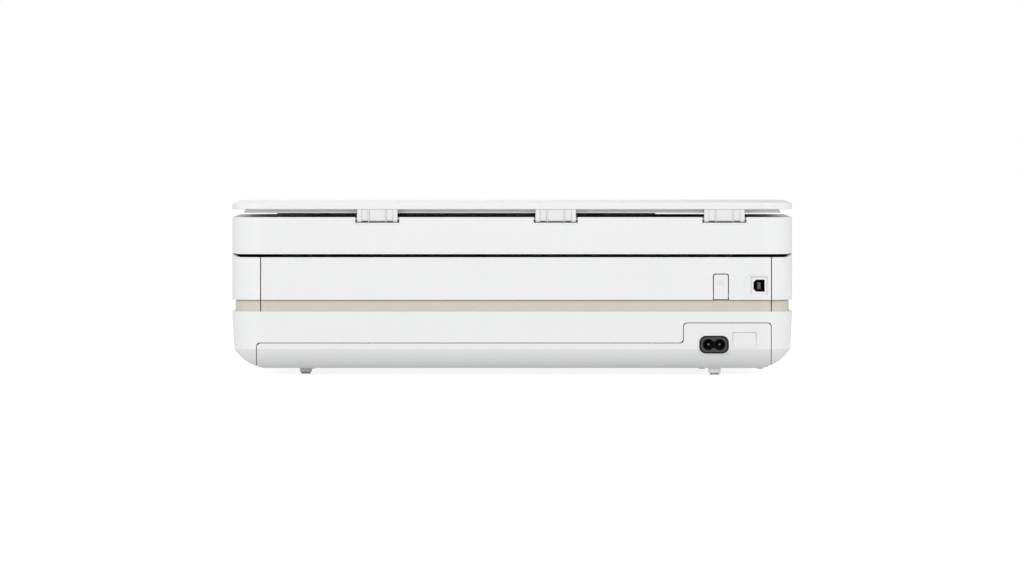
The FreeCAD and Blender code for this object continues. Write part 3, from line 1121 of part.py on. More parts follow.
def scanner_tub():
    """Lower shell of the scanner unit: floor, rim, walls that carry the glass, and the hinge knuckles."""
    w, d = tub_outer()
    r = CORNER_R - WALL - 0.3
    z0, z1 = TUB_Z, TUB_Z + TUB_FLOOR
    floor = round_slab(-w, w, -d, d, z0, z1, r)
    rim = round_slab(-w, w, -d, d, z1 - 0.1, z1 + 6, r)
    rim = rim.cut(round_slab(-w + 1.8, w - 1.8, -d + 1.8, d - 1.8, z1 - 1, z1 + 7, r - 1.8))
    gx0, gx1, gy0, gy1 = GLASS_X0 - 3.5, GLASS_X1 + 3.5, GLASS_Y0 - 3.5, GLASS_Y1 + 3.5
    wall_top = GLASS_Z - GLASS_THICKNESS
    frame = box(gx0 - 2, gx1 + 2, gy0 - 2, gy1 + 2, z1 - 0.1, wall_top)
    frame = frame.cut(box(gx0, gx1, gy0, gy1, z1 - 1, wall_top + 1))
    rear_cut = box(-w - 1, w + 1, REAR - 12.0, REAR, z1, z1 + 20)
    tub = fuse(floor, rim.cut(rear_cut), frame)
    tub = tub.cut(bar_x(SCAN_ROD_R, gx0 - 3, gx1 + 3, scan_rod_y(), SCAN_ROD_Z))
    for x in SCANNER_HINGE_X:
        gap = KNUCKLE_WIDTH / 2 + 0.4
        tub = tub.cut(box(x - gap - 4.5, x + gap + 4.5, SCANNER_PIVOT_Y - 8, REAR, z0 - 1, z1 + 1))
        half = KNUCKLE_WIDTH / 2
        arm = box(x - half, x + half, SCANNER_PIVOT_Y - 9, SCANNER_PIVOT_Y, z0, z1 + 0.3)
        knuckle = bar_x(KNUCKLE_R, x - half, x + half, SCANNER_PIVOT_Y, SCANNER_PIVOT_Z)
        tub = fuse(tub, arm, knuckle)
        tub = tub.cut(bar_x(HINGE_PIN_R + RUNNING, x - 8, x + 8, SCANNER_PIVOT_Y, SCANNER_PIVOT_Z))
    return tub


def scan_rod_y():
    return (GLASS_Y0 + GLASS_Y1) / 2


def scanner_glass():
    g = GLASS_OVERLAP - 1.0
    return box(GLASS_X0 - g, GLASS_X1 + g, GLASS_Y0 - g, GLASS_Y1 + g, GLASS_Z - GLASS_THICKNESS, GLASS_Z)


def scan_bar():
    """Image sensor bar, parked at the right, on a sleeve round the rod."""
    x1 = GLASS_X1 - 2
    x0 = x1 - SCAN_BAR_WIDTH
    y0, y1 = GLASS_Y0 - 1, GLASS_Y1 + 1
    top = GLASS_Z - GLASS_THICKNESS - 0.6
    body = box(x0, x1, y0, y1, SCAN_ROD_Z + 3.6, top)
    body = body.cut(box(x0 + 5, x1 - 5, y0 + 4, y1 - 4, top - 1.2, top + 1))
    y = scan_rod_y()
    sleeve = box(x0, x1, y - 6, y + 6, SCAN_ROD_Z - 3.2, SCAN_ROD_Z + 3.7)
    return fuse(body, sleeve).cut(bar_x(SCAN_ROD_R + RUNNING, x0 - 1, x1 + 1, y, SCAN_ROD_Z))


def scan_rod():
    return bar_x(SCAN_ROD_R, GLASS_X0 - 5.5, GLASS_X1 + 5.5, scan_rod_y(), SCAN_ROD_Z)


def lid_cover():
    """Flat lid with rounded edges."""
    cover = plan_slab(0, LID_Z, HEIGHT)
    upper = [e for e in cover.Edges if abs(e.BoundBox.ZMin - HEIGHT) < 1e-6]
    lower = [e for e in cover.Edges if abs(e.BoundBox.ZMax - LID_Z) < 1e-6]
    return cover.makeFillet(1.6, upper).makeFillet(0.7, lower)


def lid_frame():
    """Inner frame under the lid: a stepped skirt round a thin panel that carries the pad."""
    inset = LID_FRAME_INSET
    z = LID_FRAME_Z
    skirt = plan_ring(inset, inset + 9, z, z + 1.5)
    upper = plan_ring(inset + 0.8, inset + 9, z + 1.4, LID_Z)
    panel = plan_slab(inset + 8.9, LID_Z - 1.2, LID_Z)
    return fuse(skirt, upper, panel)


def lid_pad():
    """White foam pad that presses the original on the glass."""
    m = 1.5
    return round_slab(GLASS_X0 + m, GLASS_X1 - m, GLASS_Y0 + m, GLASS_Y1 - m, GLASS_Z + 0.4, LID_Z - 1.2, 2)


def lid_hinges():
    """Three hinges on the lid, each with solid cheeks, two fine ribs and recessed panels between them."""
    parts = []
    side = list(LID_HINGE_SECTIONS)
    widths = side + [LID_HINGE_WIDTH - 2 * sum(side)] + side[::-1]
    sinks = list(LID_HINGE_SINKS) + list(LID_HINGE_SINKS[2::-1])
    for centre in LID_HINGE_X:
        x = centre - LID_HINGE_WIDTH / 2
        sections = []
        for width, sink in zip(widths, sinks):
            r = LID_BARREL_R - sink
            arm = box(x, x + width, REAR - 9.0, LID_PIVOT_Y + r, LID_PIVOT_Z, LID_Z)
            sections += [bar_x(r, x, x + width, LID_PIVOT_Y, LID_PIVOT_Z), arm]
            x += width
        hinge = fuse(*sections)
        bore = bar_x(LID_PIN_R + RUNNING, centre - 20, centre + 20, LID_PIVOT_Y, LID_PIVOT_Z)
        parts.append(hinge.cut(bore))
    return parts


def lid_hinge_pins():
    half = LID_HINGE_POCKET / 2 + LID_PIN_GRIP
    return [bar_x(LID_PIN_R, x - half, x + half, LID_PIVOT_Y, LID_PIVOT_Z) for x in LID_HINGE_X]


def rubber_feet():
    return [round_slab(x - 3.6, x + 3.6, y - 9, y + 9, 0, 3.0, 1.2) for x, y in foot_places()]


def base_screws():
    """Countersunk screws from below into the lower housing's posts."""
    screws = []
    for x, y in screw_places():
        head = bar_z(3.2, x, y, SCREW_SEAT_Z - 1.3, SCREW_SEAT_Z)
        slot = box(x - 2, x + 2, y - 0.4, y + 0.4, 0, SCREW_SEAT_Z - 0.7)
        screws.append(fuse(head, bar_z(1.45, x, y, SCREW_SEAT_Z - 0.1, 19)).cut(slot))
    return screws


def build():
    os.makedirs("parts", exist_ok=True)
    at = gear_line()
    phase = feed_gears(at)
    base_shell = base_bulk(0).cut(base_bulk(WALL))

    write("bottom_pan", bottom_pan(base_shell))
    write("lower_housing", lower_housing(base_shell))
    write("accent_band", *accent_band())
    write("rear_panel", rear_panel())
    write("upper_housing", upper_housing())
    write("rubber_feet", *rubber_feet())
    write("base_screws", *base_screws())
    write("inner_deck", inner_deck())
    write("output_frame", output_frame())
    write("output_deck", output_deck())
    write("control_panel", control_panel())
    for name, x in key_places().items():
        write(name, control_key(x))
    write("power_button", power_button())

    inlet, pins = power_inlet()
    write("power_inlet", inlet, *pins)
    write("power_supply", power_supply())
    write("usb_port", *usb_port())
    board, chips = main_board()
    write("main_board", board, *chips)

    write("engine_side_plates", *engine_plates(at))
    write("carriage_rails", *carriage_rails())
    left, right = belt_places()
    write("belt_drive_pulley", belt_pulley(left))
    write("belt_idler_pulley", belt_pulley(right))
    write("carriage_belt", carriage_belt())
    write("drive_motors", *drive_motors(at))
    write("feed_motor_pinion", motor_pinion(at, phase))
    spans = [(-100, -60), (-40, 40), (60, 100)]
    x_end = PLATE_X1 + PLATE_T + 1
    write("feed_roller", *roller(at, "feed", ROLLER_R, spans, shaft_left(2), x_end),
          train_gear(at, phase, "feed", FEED_TEETH, 1, SHAFT_R),
          gear(TURN_PINION_TEETH, GEAR_PLANE_2 - GEAR_WIDTH, *at["feed"], GEAR_WIDTH, 0.0, SHAFT_R))
    write("exit_roller", *roller(at, "exit", ROLLER_R, spans, shaft_left(1), x_end),
          train_gear(at, phase, "exit", FEED_TEETH, 1, SHAFT_R))
    write("idler_gear", train_gear(at, phase, "idler", IDLER_TEETH, 1, STUB_R + RUNNING))
    write("turn_idler_gear", train_gear(at, phase, "turn_idler", TURN_IDLER_TEETH, 2, STUB_R + RUNNING))
    drums = [(-100, -80), (-50, -30), (30, 50), (80, 100)]
    write("turn_roller", *roller(at, "turn", TURN_R, drums, shaft_left(2), x_end),
          train_gear(at, phase, "turn", TURN_TEETH, 2, SHAFT_R))
    write("pinch_rollers", pinch_rollers())
    write("star_wheels", star_wheels())
    write("platen", platen())
    write("rear_paper_guide", rear_paper_guide(at))
    write("pick_arm", pick_arm(at))
    write("pick_roller", pick_roller(at))
    write("carriage", carriage())
    for name, span in zip(("colour_cartridge", "black_cartridge"), bay_spans()):
        write(name, cartridge(span))
    for name, span in zip(("cartridge_latch_right", "cartridge_latch_left"), bay_spans()):
        write(name, cartridge_latch(span))
    write("service_sled", *service_sled())

    write("tray_body", tray_body())
    write("tray_front", tray_front(base_shell))
    write("paper_guide_left", width_guide(-1))
    write("paper_guide_right", width_guide(1))
    write("guide_pinion", guide_pinion())
    write("output_extender", output_extender())
    write("paper_stop", paper_stop())

    write("scanner_hinge_brackets", *scanner_hinge_brackets())
    write("scanner_case", scanner_case())
    write("scanner_tub", scanner_tub())
    write("scanner_glass", scanner_glass())
    write("scan_bar", scan_bar())
    write("scan_rod", scan_rod())
    write("lid_cover", lid_cover())
    write("lid_frame", lid_frame())
    write("lid_pad", lid_pad())
    write("lid_hinges", *lid_hinges())
    write("lid_hinge_pins", *lid_hinge_pins())


build()
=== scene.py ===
"""Looks of a compact all-in-one inkjet printer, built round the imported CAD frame.

Every CAD shape is kept as it is and gets a procedural material, except the lid's foam pad, which is a
piece of its own. Everything is in metres in the CAD frame: +Z up, the rear faces +Y.
"""
import math

import bmesh
import bpy
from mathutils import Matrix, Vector


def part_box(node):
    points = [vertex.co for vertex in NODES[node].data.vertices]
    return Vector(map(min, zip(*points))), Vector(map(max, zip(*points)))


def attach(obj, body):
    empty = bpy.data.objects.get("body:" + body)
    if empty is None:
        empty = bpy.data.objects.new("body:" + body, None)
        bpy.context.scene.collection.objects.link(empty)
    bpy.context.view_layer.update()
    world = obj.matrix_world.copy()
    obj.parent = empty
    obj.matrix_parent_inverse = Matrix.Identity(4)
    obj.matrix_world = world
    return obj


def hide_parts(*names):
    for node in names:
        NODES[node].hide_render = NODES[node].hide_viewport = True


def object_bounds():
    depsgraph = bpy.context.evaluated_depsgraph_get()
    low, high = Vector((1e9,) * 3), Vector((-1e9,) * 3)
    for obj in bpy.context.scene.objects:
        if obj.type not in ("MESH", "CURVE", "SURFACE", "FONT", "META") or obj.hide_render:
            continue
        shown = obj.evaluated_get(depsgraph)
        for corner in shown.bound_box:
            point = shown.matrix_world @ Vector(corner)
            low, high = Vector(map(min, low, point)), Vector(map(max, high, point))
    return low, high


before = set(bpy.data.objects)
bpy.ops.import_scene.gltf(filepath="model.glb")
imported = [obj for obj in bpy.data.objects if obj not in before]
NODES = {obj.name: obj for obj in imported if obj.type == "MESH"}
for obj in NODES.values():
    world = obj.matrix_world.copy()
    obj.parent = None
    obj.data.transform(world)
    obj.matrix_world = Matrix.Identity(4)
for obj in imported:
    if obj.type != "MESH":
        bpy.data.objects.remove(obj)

CAD_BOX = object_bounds()
MM = 0.001


# ---- node helpers ----
class Tree:
    """Small wrapper that adds and links shader nodes."""

    def __init__(self, tree):
        self.tree = tree
        self.tree.nodes.clear()

    def add(self, kind, **values):
        node = self.tree.nodes.new(kind)
        for key, value in values.items():
            if hasattr(node, key):
                setattr(node, key, value)
            else:
                node.inputs[key.replace("_", " ")].default_value = value
        return node

    def link(self, source, target):
        self.tree.links.new(source, target)

    def noise(self, vector, scale, detail=2.0, roughness=0.5):
        node = self.add("ShaderNodeTexNoise")
        node.inputs["Scale"].default_value = scale
        node.inputs["Detail"].default_value = detail
        node.inputs["Roughness"].default_value = roughness
        self.link(vector, node.inputs["Vector"])
        return node.outputs["Fac"]

    def stretch(self, vector, scale):
        node = self.add("ShaderNodeMapping")
        node.inputs["Scale"].default_value = scale
        self.link(vector, node.inputs["Vector"])
        return node.outputs["Vector"]

    def span(self, value, low, high, to_low, to_high):
        node = self.add("ShaderNodeMapRange")
        for name, number in (("From Min", low), ("From Max", high), ("To Min", to_low), ("To Max", to_high)):
            node.inputs[name].default_value = number
        self.link(value, node.inputs["Value"])
        return node.outputs["Result"]

    def math(self, operation, first, second):
        node = self.add("ShaderNodeMath")
        node.operation = operation
        for socket, value in zip(node.inputs, (first, second)):
            if isinstance(value, (int, float)):
                socket.default_value = value
            else:
                self.link(value, socket)
        return node.outputs[0]

    def mix(self, factor, first, second, blend="MIX"):
        node = self.add("ShaderNodeMix")
        node.data_type = "RGBA"
        node.blend_type = blend
        for socket, value in zip((node.inputs[0], node.inputs[6], node.inputs[7]), (factor, first, second)):
            if isinstance(value, (int, float)):
                socket.default_value = value
            elif isinstance(value, tuple):
                socket.default_value = (*value, 1.0)
            else:
                self.link(value, socket)
        return node.outputs[2]


def scaled(colour, factor):
    return tuple(min(max(c * factor, 0.0), 1.0) for c in colour)


def new_material(name):
    material = bpy.data.materials.new(name)
    material.use_nodes = True
    tree = Tree(material.node_tree)
    output = tree.add("ShaderNodeOutputMaterial")
    shader = tree.add("ShaderNodeBsdfPrincipled")
    tree.link(shader.outputs["BSDF"], output.inputs["Surface"])
    place = tree.add("ShaderNodeTexCoord").outputs["Object"]
    return material, tree, shader, place


def edge_mask(tree, radius):
    """About 1 on convex and concave edges and 0 on flats, with the rounded normal that shows it."""
    bevel = tree.add("ShaderNodeBevel", samples=4)
    bevel.inputs["Radius"].default_value = radius
    geometry = tree.add("ShaderNodeNewGeometry")
    dot = tree.add("ShaderNodeVectorMath", operation="DOT_PRODUCT")
    tree.link(bevel.outputs["Normal"], dot.inputs[0])
    tree.link(geometry.outputs["Normal"], dot.inputs[1])
    return tree.span(dot.outputs["Value"], 1.0, 0.86, 0.0, 1.0), bevel.outputs["Normal"]


def moulded(name, colour, roughness, grain, bump, mottle, edge, painted_edge_light, dust=0.0, specular=0.5):
    """Injection-moulded plastic: eroded grain, slight clouding of colour and gloss, softened edges, and edges and
    creases whose colour is scaled by the edge factor: a painted highlight above 1, painted shade below 1.
    """
    material, tree, shader, place = new_material(name)
    mask, rounded = edge_mask(tree, edge * MM)
    cloud = tree.noise(place, 9.0, 3.0, 0.6)
    blotch = tree.noise(place, 55.0, 2.0, 0.5)
    clouded = tree.span(cloud, 0.3, 0.7, 0.0, 1.0)
    tint = tree.mix(clouded, scaled(colour, 1.0 - mottle), scaled(colour, 1.0 + mottle))
    speck = tree.noise(place, grain * 0.6, 1.0, 0.5)
    tint = tree.mix(tree.span(speck, 0.35, 0.65, 0.0, 1.0), tint, scaled(colour, 1.0 - mottle * 1.2))
    # painted edge light: edges and creases take the colour scaled by the edge factor, lighter as a painted
    # highlight, darker as painted shade
    painted_edge_tint = tree.mix(tree.math("MULTIPLY", mask, 0.6), tint, scaled(colour, painted_edge_light))
    if dust:
        normal = tree.add("ShaderNodeSeparateXYZ")
        tree.link(tree.add("ShaderNodeNewGeometry").outputs["Normal"], normal.inputs["Vector"])
        facing_up = tree.span(normal.outputs["Z"], 0.6, 1.0, 0.0, dust)
        settled = tree.math("MULTIPLY", facing_up, tree.span(blotch, 0.4, 0.7, 0.0, 1.0))
        painted_edge_tint = tree.mix(settled, painted_edge_tint, (0.60, 0.58, 0.55))
    tree.link(painted_edge_tint, shader.inputs["Base Color"])
    gloss = tree.span(blotch, 0.3, 0.7, roughness - 0.05, roughness + 0.05)
    polish = tree.math("MULTIPLY", mask, -0.08)
    tree.link(tree.math("ADD", gloss, polish), shader.inputs["Roughness"])
    grit = tree.add("ShaderNodeBump")
    grit.inputs["Strength"].default_value = bump
    grit.inputs["Distance"].default_value = 0.00012
    relief = tree.math("ADD", tree.noise(place, grain, 2.0, 0.6), tree.math("MULTIPLY", cloud, 0.3))
    tree.link(relief, grit.inputs["Height"])
    tree.link(rounded, grit.inputs["Normal"])
    tree.link(grit.outputs["Normal"], shader.inputs["Normal"])
    shader.inputs["Specular IOR Level"].default_value = specular
    return material


def metal(name, colour, roughness, along=(1.0, 60.0, 60.0), bump=0.12, stain=0.06):
    """Drawn or rolled metal with fine marks along one direction, faint stains, and edges painted brighter as a
    highlight.
    """
    material, tree, shader, place = new_material(name)
    mask, rounded = edge_mask(tree, 0.25 * MM)
    drawn = tree.noise(tree.stretch(place, along), 60.0, 4.0, 0.7)
    stains = tree.noise(place, 38.0, 4.0, 0.6)
    stained = tree.span(stains, 0.35, 0.7, 0.0, 1.0)
    tint = tree.mix(stained, scaled(colour, 1.0 + stain), scaled(colour, 1.0 - stain))
    # painted highlight: edges and creases 20 % lighter
    tint = tree.mix(tree.math("MULTIPLY", mask, 0.5), tint, scaled(colour, 1.2))
    tree.link(tint, shader.inputs["Base Color"])
    shader.inputs["Metallic"].default_value = 1.0
    tree.link(tree.span(drawn, 0.25, 0.75, roughness - 0.08, roughness + 0.10), shader.inputs["Roughness"])
    marks = tree.add("ShaderNodeBump")
    marks.inputs["Strength"].default_value = bump
    marks.inputs["Distance"].default_value = 0.00008
    tree.link(drawn, marks.inputs["Height"])
    tree.link(rounded, marks.inputs["Normal"])
    tree.link(marks.outputs["Normal"], shader.inputs["Normal"])
    return material


def rubber(name, colour, roughness=0.75):
    """Ground rubber: matt, slightly dusty, with a fine sanded grain."""
    material, tree, shader, place = new_material(name)
    grain = tree.noise(place, 3200.0, 3.0, 0.7)
    cloud = tree.noise(place, 60.0, 3.0, 0.6)
    tint = tree.mix(tree.span(cloud, 0.3, 0.7, 0.0, 1.0), scaled(colour, 0.88), scaled(colour, 1.15))
    tree.link(tint, shader.inputs["Base Color"])
    tree.link(tree.span(grain, 0.3, 0.7, roughness - 0.1, roughness + 0.1), shader.inputs["Roughness"])
    grit = tree.add("ShaderNodeBump")
    grit.inputs["Strength"].default_value = 0.25
    grit.inputs["Distance"].default_value = 0.00015
    tree.link(grain, grit.inputs["Height"])
    tree.link(grit.outputs["Normal"], shader.inputs["Normal"])
    return material


def clear_glass(name):
    """Float glass with a faint green body and the odd smear."""
    material, tree, shader, place = new_material(name)
    smear = tree.noise(tree.stretch(place, (6.0, 30.0, 6.0)), 3.0, 4.0, 0.6)
    tree.link(tree.span(smear, 0.45, 0.75, 0.015, 0.09), shader.inputs["Roughness"])
    tint = tree.mix(tree.noise(place, 4.0), (0.90, 0.97, 0.95), (0.93, 0.98, 0.96))
    tree.link(tint, shader.inputs["Base Color"])
    shader.inputs["Transmission Weight"].default_value = 1.0
    shader.inputs["IOR"].default_value = 1.52
    return material


def circuit_board(name):
    """Green solder mask with a faint grid of tracks."""
    material, tree, shader, place = new_material(name)
    grid = tree.add("ShaderNodeTexBrick")
    grid.inputs["Scale"].default_value = 260.0
    grid.inputs["Mortar Size"].default_value = 0.05
    turned = tree.add("ShaderNodeMapping")
    turned.inputs["Rotation"].default_value = (0.0, math.radians(90), 0.0)
    tree.link(place, turned.inputs["Vector"])
    tree.link(turned.outputs["Vector"], grid.inputs["Vector"])
    grid.inputs["Color1"].default_value = (0.015, 0.13, 0.055, 1.0)
    grid.inputs["Color2"].default_value = (0.02, 0.19, 0.08, 1.0)
    grid.inputs["Mortar"].default_value = (0.05, 0.30, 0.14, 1.0)
    cloud = tree.noise(place, 40.0, 3.0)
    tint = tree.mix(tree.math("MULTIPLY", cloud, 0.3), grid.outputs["Color"], (0.01, 0.10, 0.05))
    tree.link(tint, shader.inputs["Base Color"])
    tree.link(tree.span(cloud, 0.3, 0.7, 0.25, 0.40), shader.inputs["Roughness"])
    relief = tree.add("ShaderNodeBump")
    relief.inputs["Strength"].default_value = 0.3
    relief.inputs["Distance"].default_value = 0.00005
    tree.link(grid.outputs["Fac"], relief.inputs["Height"])
    tree.link(relief.outputs["Normal"], shader.inputs["Normal"])
    return material


WHITE = (0.865, 0.870, 0.870)
# In each moulded(...) entry the last number is the edge factor: above 1 it paints edges and creases lighter as a
# highlight, below 1 darker as shade.
MATERIALS = {
    "casing": moulded("casing_white_plastic", WHITE, 0.46, 2600, 0.10, 0.012, 0.45, 1.06),
    "lid": moulded("lid_white_plastic", scaled(WHITE, 1.01),
                   0.40, 3000, 0.06, 0.010, 0.45, 1.06, dust=0.04),
    "pan": moulded("pan_white_plastic", scaled(WHITE, 0.985), 0.50, 2200, 0.14, 0.014, 0.35, 1.05),
    "band": moulded("band_beige_plastic", (0.665, 0.610, 0.530), 0.42, 2800, 0.09, 0.015, 0.3, 1.06),
    # hinge: an edge factor of 0.16 paints its grooves, creases and edges near-dark as painted shade
    "hinge": moulded("hinge_white_plastic", scaled(WHITE, 0.97), 0.38, 3000, 0.05, 0.012, 0.45, 0.16),
    "key": moulded("key_white_plastic", scaled(WHITE, 0.985), 0.40, 3000, 0.05, 0.010, 0.3, 1.05),
    "black": moulded("black_plastic", (0.017, 0.017, 0.018), 0.42, 2600, 0.12, 0.12, 0.3, 2.2),
    "inlet": moulded("inlet_black_plastic", (0.040, 0.040, 0.041), 0.50, 2600, 0.15, 0.08, 0.3, 1.2),
    # painted shade: near-black for the inside of the power inlet's recess and the USB socket's mouth, which lie
    # in shade
    "shade_black": moulded("painted_shade_black", (0.008, 0.008, 0.008),
                   0.60, 2600, 0.12, 0.10, 0.2, 1.2, specular=0.2),
    "tongue": moulded("socket_tongue_plastic", (0.10, 0.10, 0.10), 0.45, 2600, 0.10, 0.05, 0.15, 1.2),
    "pin": metal("dull_contact_pin", (0.16, 0.16, 0.16), 0.35, bump=0.05),
    "dark": moulded("dark_grey_plastic", (0.040, 0.040, 0.042), 0.55, 2200, 0.18, 0.08, 0.35, 1.8),
    "panel": moulded("panel_dark_plastic", (0.030, 0.031, 0.033), 0.25, 3000, 0.04, 0.05, 0.35, 1.6),
    "natural": moulded("natural_gear_plastic", (0.78, 0.76, 0.70), 0.40, 1800, 0.05, 0.02, 0.15, 1.05),
    "ink_black": moulded("cartridge_black_plastic", (0.022, 0.022, 0.024),
                         0.38, 2400, 0.12, 0.10, 0.35, 2.0),
    "ink_grey": moulded("cartridge_grey_plastic", (0.42, 0.43, 0.45), 0.40, 2400, 0.10, 0.03, 0.35, 1.2),
    "pad": moulded("pad_film", (0.86, 0.86, 0.85), 0.62, 900, 0.25, 0.015, 0.3, 1.02),
    "foot": rubber("foot_grey_rubber", (0.46, 0.47, 0.46), 0.7),
    "rubber": rubber("black_rubber", (0.022, 0.022, 0.022)),
    "steel": metal("ground_steel", (0.60, 0.60, 0.60), 0.26),
    "zinc": metal("zinc_plated_sheet", (0.66, 0.67, 0.68), 0.36, (30.0, 1.5, 30.0), 0.08, 0.10),
    "tin": metal("tinned_shell", (0.58, 0.58, 0.57), 0.30, (20.0, 3.0, 20.0), 0.10, 0.08),
    "glass": clear_glass("flatbed_glass"),
    "board": circuit_board("green_circuit_board"),
}

NODE_MATERIAL = {
    "bottom_pan": "pan", "lower_housing": "casing", "accent_band": "band", "rear_panel": "casing",
    "upper_housing": "casing", "rubber_feet": "foot", "base_screws": "steel", "inner_deck": "dark",
    "output_frame": "dark", "output_deck": "casing", "control_panel": "panel", "power_inlet": "inlet",
    "power_supply": "black", "usb_port": "tin", "main_board": "board", "engine_side_plates": "zinc",
    "carriage_rails": "zinc", "carriage_belt": "rubber", "drive_motors": "zinc", "platen": "black",
    "rear_paper_guide": "dark", "scanner_hinge_brackets": "zinc", "power_button": "key", "copy_key": "key",
    "cancel_key": "key", "belt_drive_pulley": "natural", "belt_idler_pulley": "natural", "feed_roller": "steel",
    "exit_roller": "steel", "idler_gear": "natural", "feed_motor_pinion": "natural", "turn_idler_gear": "natural",
    "turn_roller": "steel", "pinch_rollers": "steel", "star_wheels": "steel", "pick_arm": "black",
    "pick_roller": "rubber", "carriage": "black", "black_cartridge": "ink_black", "colour_cartridge": "ink_grey",
    "cartridge_latch_left": "dark", "cartridge_latch_right": "dark", "service_sled": "dark", "tray_body": "dark",
    "tray_front": "casing", "paper_guide_left": "key", "paper_guide_right": "key", "guide_pinion": "natural",
    "output_extender": "casing", "paper_stop": "key", "scanner_case": "casing", "scanner_tub": "dark",
    "scanner_glass": "glass", "scan_rod": "steel", "scan_bar": "black", "lid_hinge_pins": "steel",
    "lid_cover": "lid", "lid_frame": "lid", "lid_pad": "pad", "lid_hinges": "hinge",
}


def dress(node, *layers):
    """Materials of a CAD node: its own, and further ones for the faces that a test on their middle picks."""
    mesh = NODES[node].data
    mesh.materials.clear()
    mesh.materials.append(MATERIALS[NODE_MATERIAL[node]])
    for index, (material, _) in enumerate(layers, 1):
        mesh.materials.append(MATERIALS[material])
    for polygon in mesh.polygons:
        polygon.material_index = 0
        for index, (_, test) in enumerate(layers, 1):
            if test(polygon.center):
                polygon.material_index = index


def round_axis(node):
    """Middle line of a roller that runs along X: its (y, z)."""
    low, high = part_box(node)
    return (low.y + high.y) / 2, (low.z + high.z) / 2


def sleeve_test(node, shaft_r, inner_end):
    """Faces outside the shaft and right of the gears, which are the rubber sleeves."""
    y, z = round_axis(node)
    return lambda c: c.x > inner_end and math.hypot(c.y - y, c.z - z) > shaft_r


def gear_test(node, shaft_r, inner_end):
    y, z = round_axis(node)
    return lambda c: c.x < inner_end and math.hypot(c.y - y, c.z - z) > shaft_r


PLATE_X = -160.0 * MM        # gears lie left of it, rubber sleeves right of it
SHAFT_R = 4.3 * MM
PINCH_SHAFT_R = 2.1 * MM
BOARD_FACE = 1.65 * MM       # thickness of the bare board, beyond which its parts stand
LAYERS = {}
for roller in ("feed_roller", "exit_roller", "turn_roller"):
    LAYERS[roller] = (("rubber", sleeve_test(roller, SHAFT_R, PLATE_X)),
                      ("natural", gear_test(roller, SHAFT_R, PLATE_X)))
inlet_low, inlet_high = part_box("power_inlet")
inlet_x = (inlet_low.x + inlet_high.x) / 2
inlet_z = (inlet_low.z + inlet_high.z) / 2
PIN_HALF = 4.3 * MM
INLET_PIN_R = 1.25 * MM
INLET_DEPTH = 11.8 * MM
SKIN = 0.1 * MM              # faces nearer than this to the front lie on it


def near_pin(c):
    return min(math.hypot(c.x - inlet_x - s * PIN_HALF, c.z - inlet_z) for s in (-1, 1)) < INLET_PIN_R


def inlet_pin(c):
    return near_pin(c) and c.y > inlet_high.y - INLET_DEPTH


def inlet_rim(c):
    """The sunken rim, and the walls and floor of the recess, painted near-black as the shade that lies in them.
    """
    return c.y < inlet_high.y - SKIN


# the inlet's recess gets painted shade, the pins their metal
LAYERS["power_inlet"] = (("shade_black", inlet_rim), ("pin", inlet_pin))
usb_low, usb_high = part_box("usb_port")
usb_x = (usb_low.x + usb_high.x) / 2
usb_z = (usb_low.z + usb_high.z) / 2
MOUTH_HALF = (4.1 * MM, 4.4 * MM)
TONGUE_HALF = (1.21 * MM, 2.46 * MM)


def socket_mouth(c):
    """The shell's front and the inside of its mouth, painted near-black as the shade they lie in behind the rear
    panel.
    """
    front = c.y > usb_high.y - SKIN
    return front or (abs(c.x - usb_x) < MOUTH_HALF[0] and abs(c.z - usb_z) < MOUTH_HALF[1])


def socket_tongue(c):
    across = abs(c.x - usb_x) < TONGUE_HALF[0] and abs(c.z - usb_z) < TONGUE_HALF[1]
    return across and c.y < usb_high.y - SKIN


# painted shade on the socket's tin shell and mouth; the tongue keeps its own grey
LAYERS["usb_port"] = (("shade_black", socket_mouth), ("tongue", socket_tongue))
board_low, board_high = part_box("main_board")
LAYERS["main_board"] = (("black", lambda c: c.x > board_low.x + BOARD_FACE),)
pinch_y, pinch_z = round_axis("pinch_rollers")
LAYERS["pinch_rollers"] = (("rubber", lambda c: math.hypot(c.y - pinch_y, c.z - pinch_z) > PINCH_SHAFT_R),)
for node in NODES:
    dress(node, *LAYERS.get(node, ()))


# ---- the foam pad under the lid ----
def spread(low, high, fine, coarse):
    """Stations from low to high, close together within fine of either end and coarse apart between."""
    edge = [fine * k for k in (0.0, 0.06, 0.2, 0.42, 0.7, 1.0)]
    count = max(int((high - low - 2 * fine) / coarse), 1)
    step = (high - low - 2 * fine) / count
    middle = [low + fine + step * k for k in range(1, count)]
    return [low + e for e in edge] + middle + [high - e for e in reversed(edge)]


def rolled(distance, radius):
    """Thickness of a pad's rolled edge, from 0 at the rim to 1 where the flat begins."""
    t = max(0.0, 1.0 - distance / radius)
    return math.sqrt(max(0.0, 1.0 - t * t))


PAD_ROLL = 3.0 * MM          # radius of the film's rolled edge
PAD_SEAL = 9.0 * MM          # from the rim to the heat-sealed line
PAD_SEAL_DEPTH = 0.5 * MM
PAD_PULL = 0.6 * MM          # how far the long sides pull in between the corners
PAD_CROWN = 0.35 * MM        # how far the foam bulges in the middle
PAD_STATION = 7.0 * MM       # between the mesh's rows
PAD_SEAL_WIDTH = 2.5 * MM
PAD_RIPPLE = 0.10 * MM       # slight waviness of the film


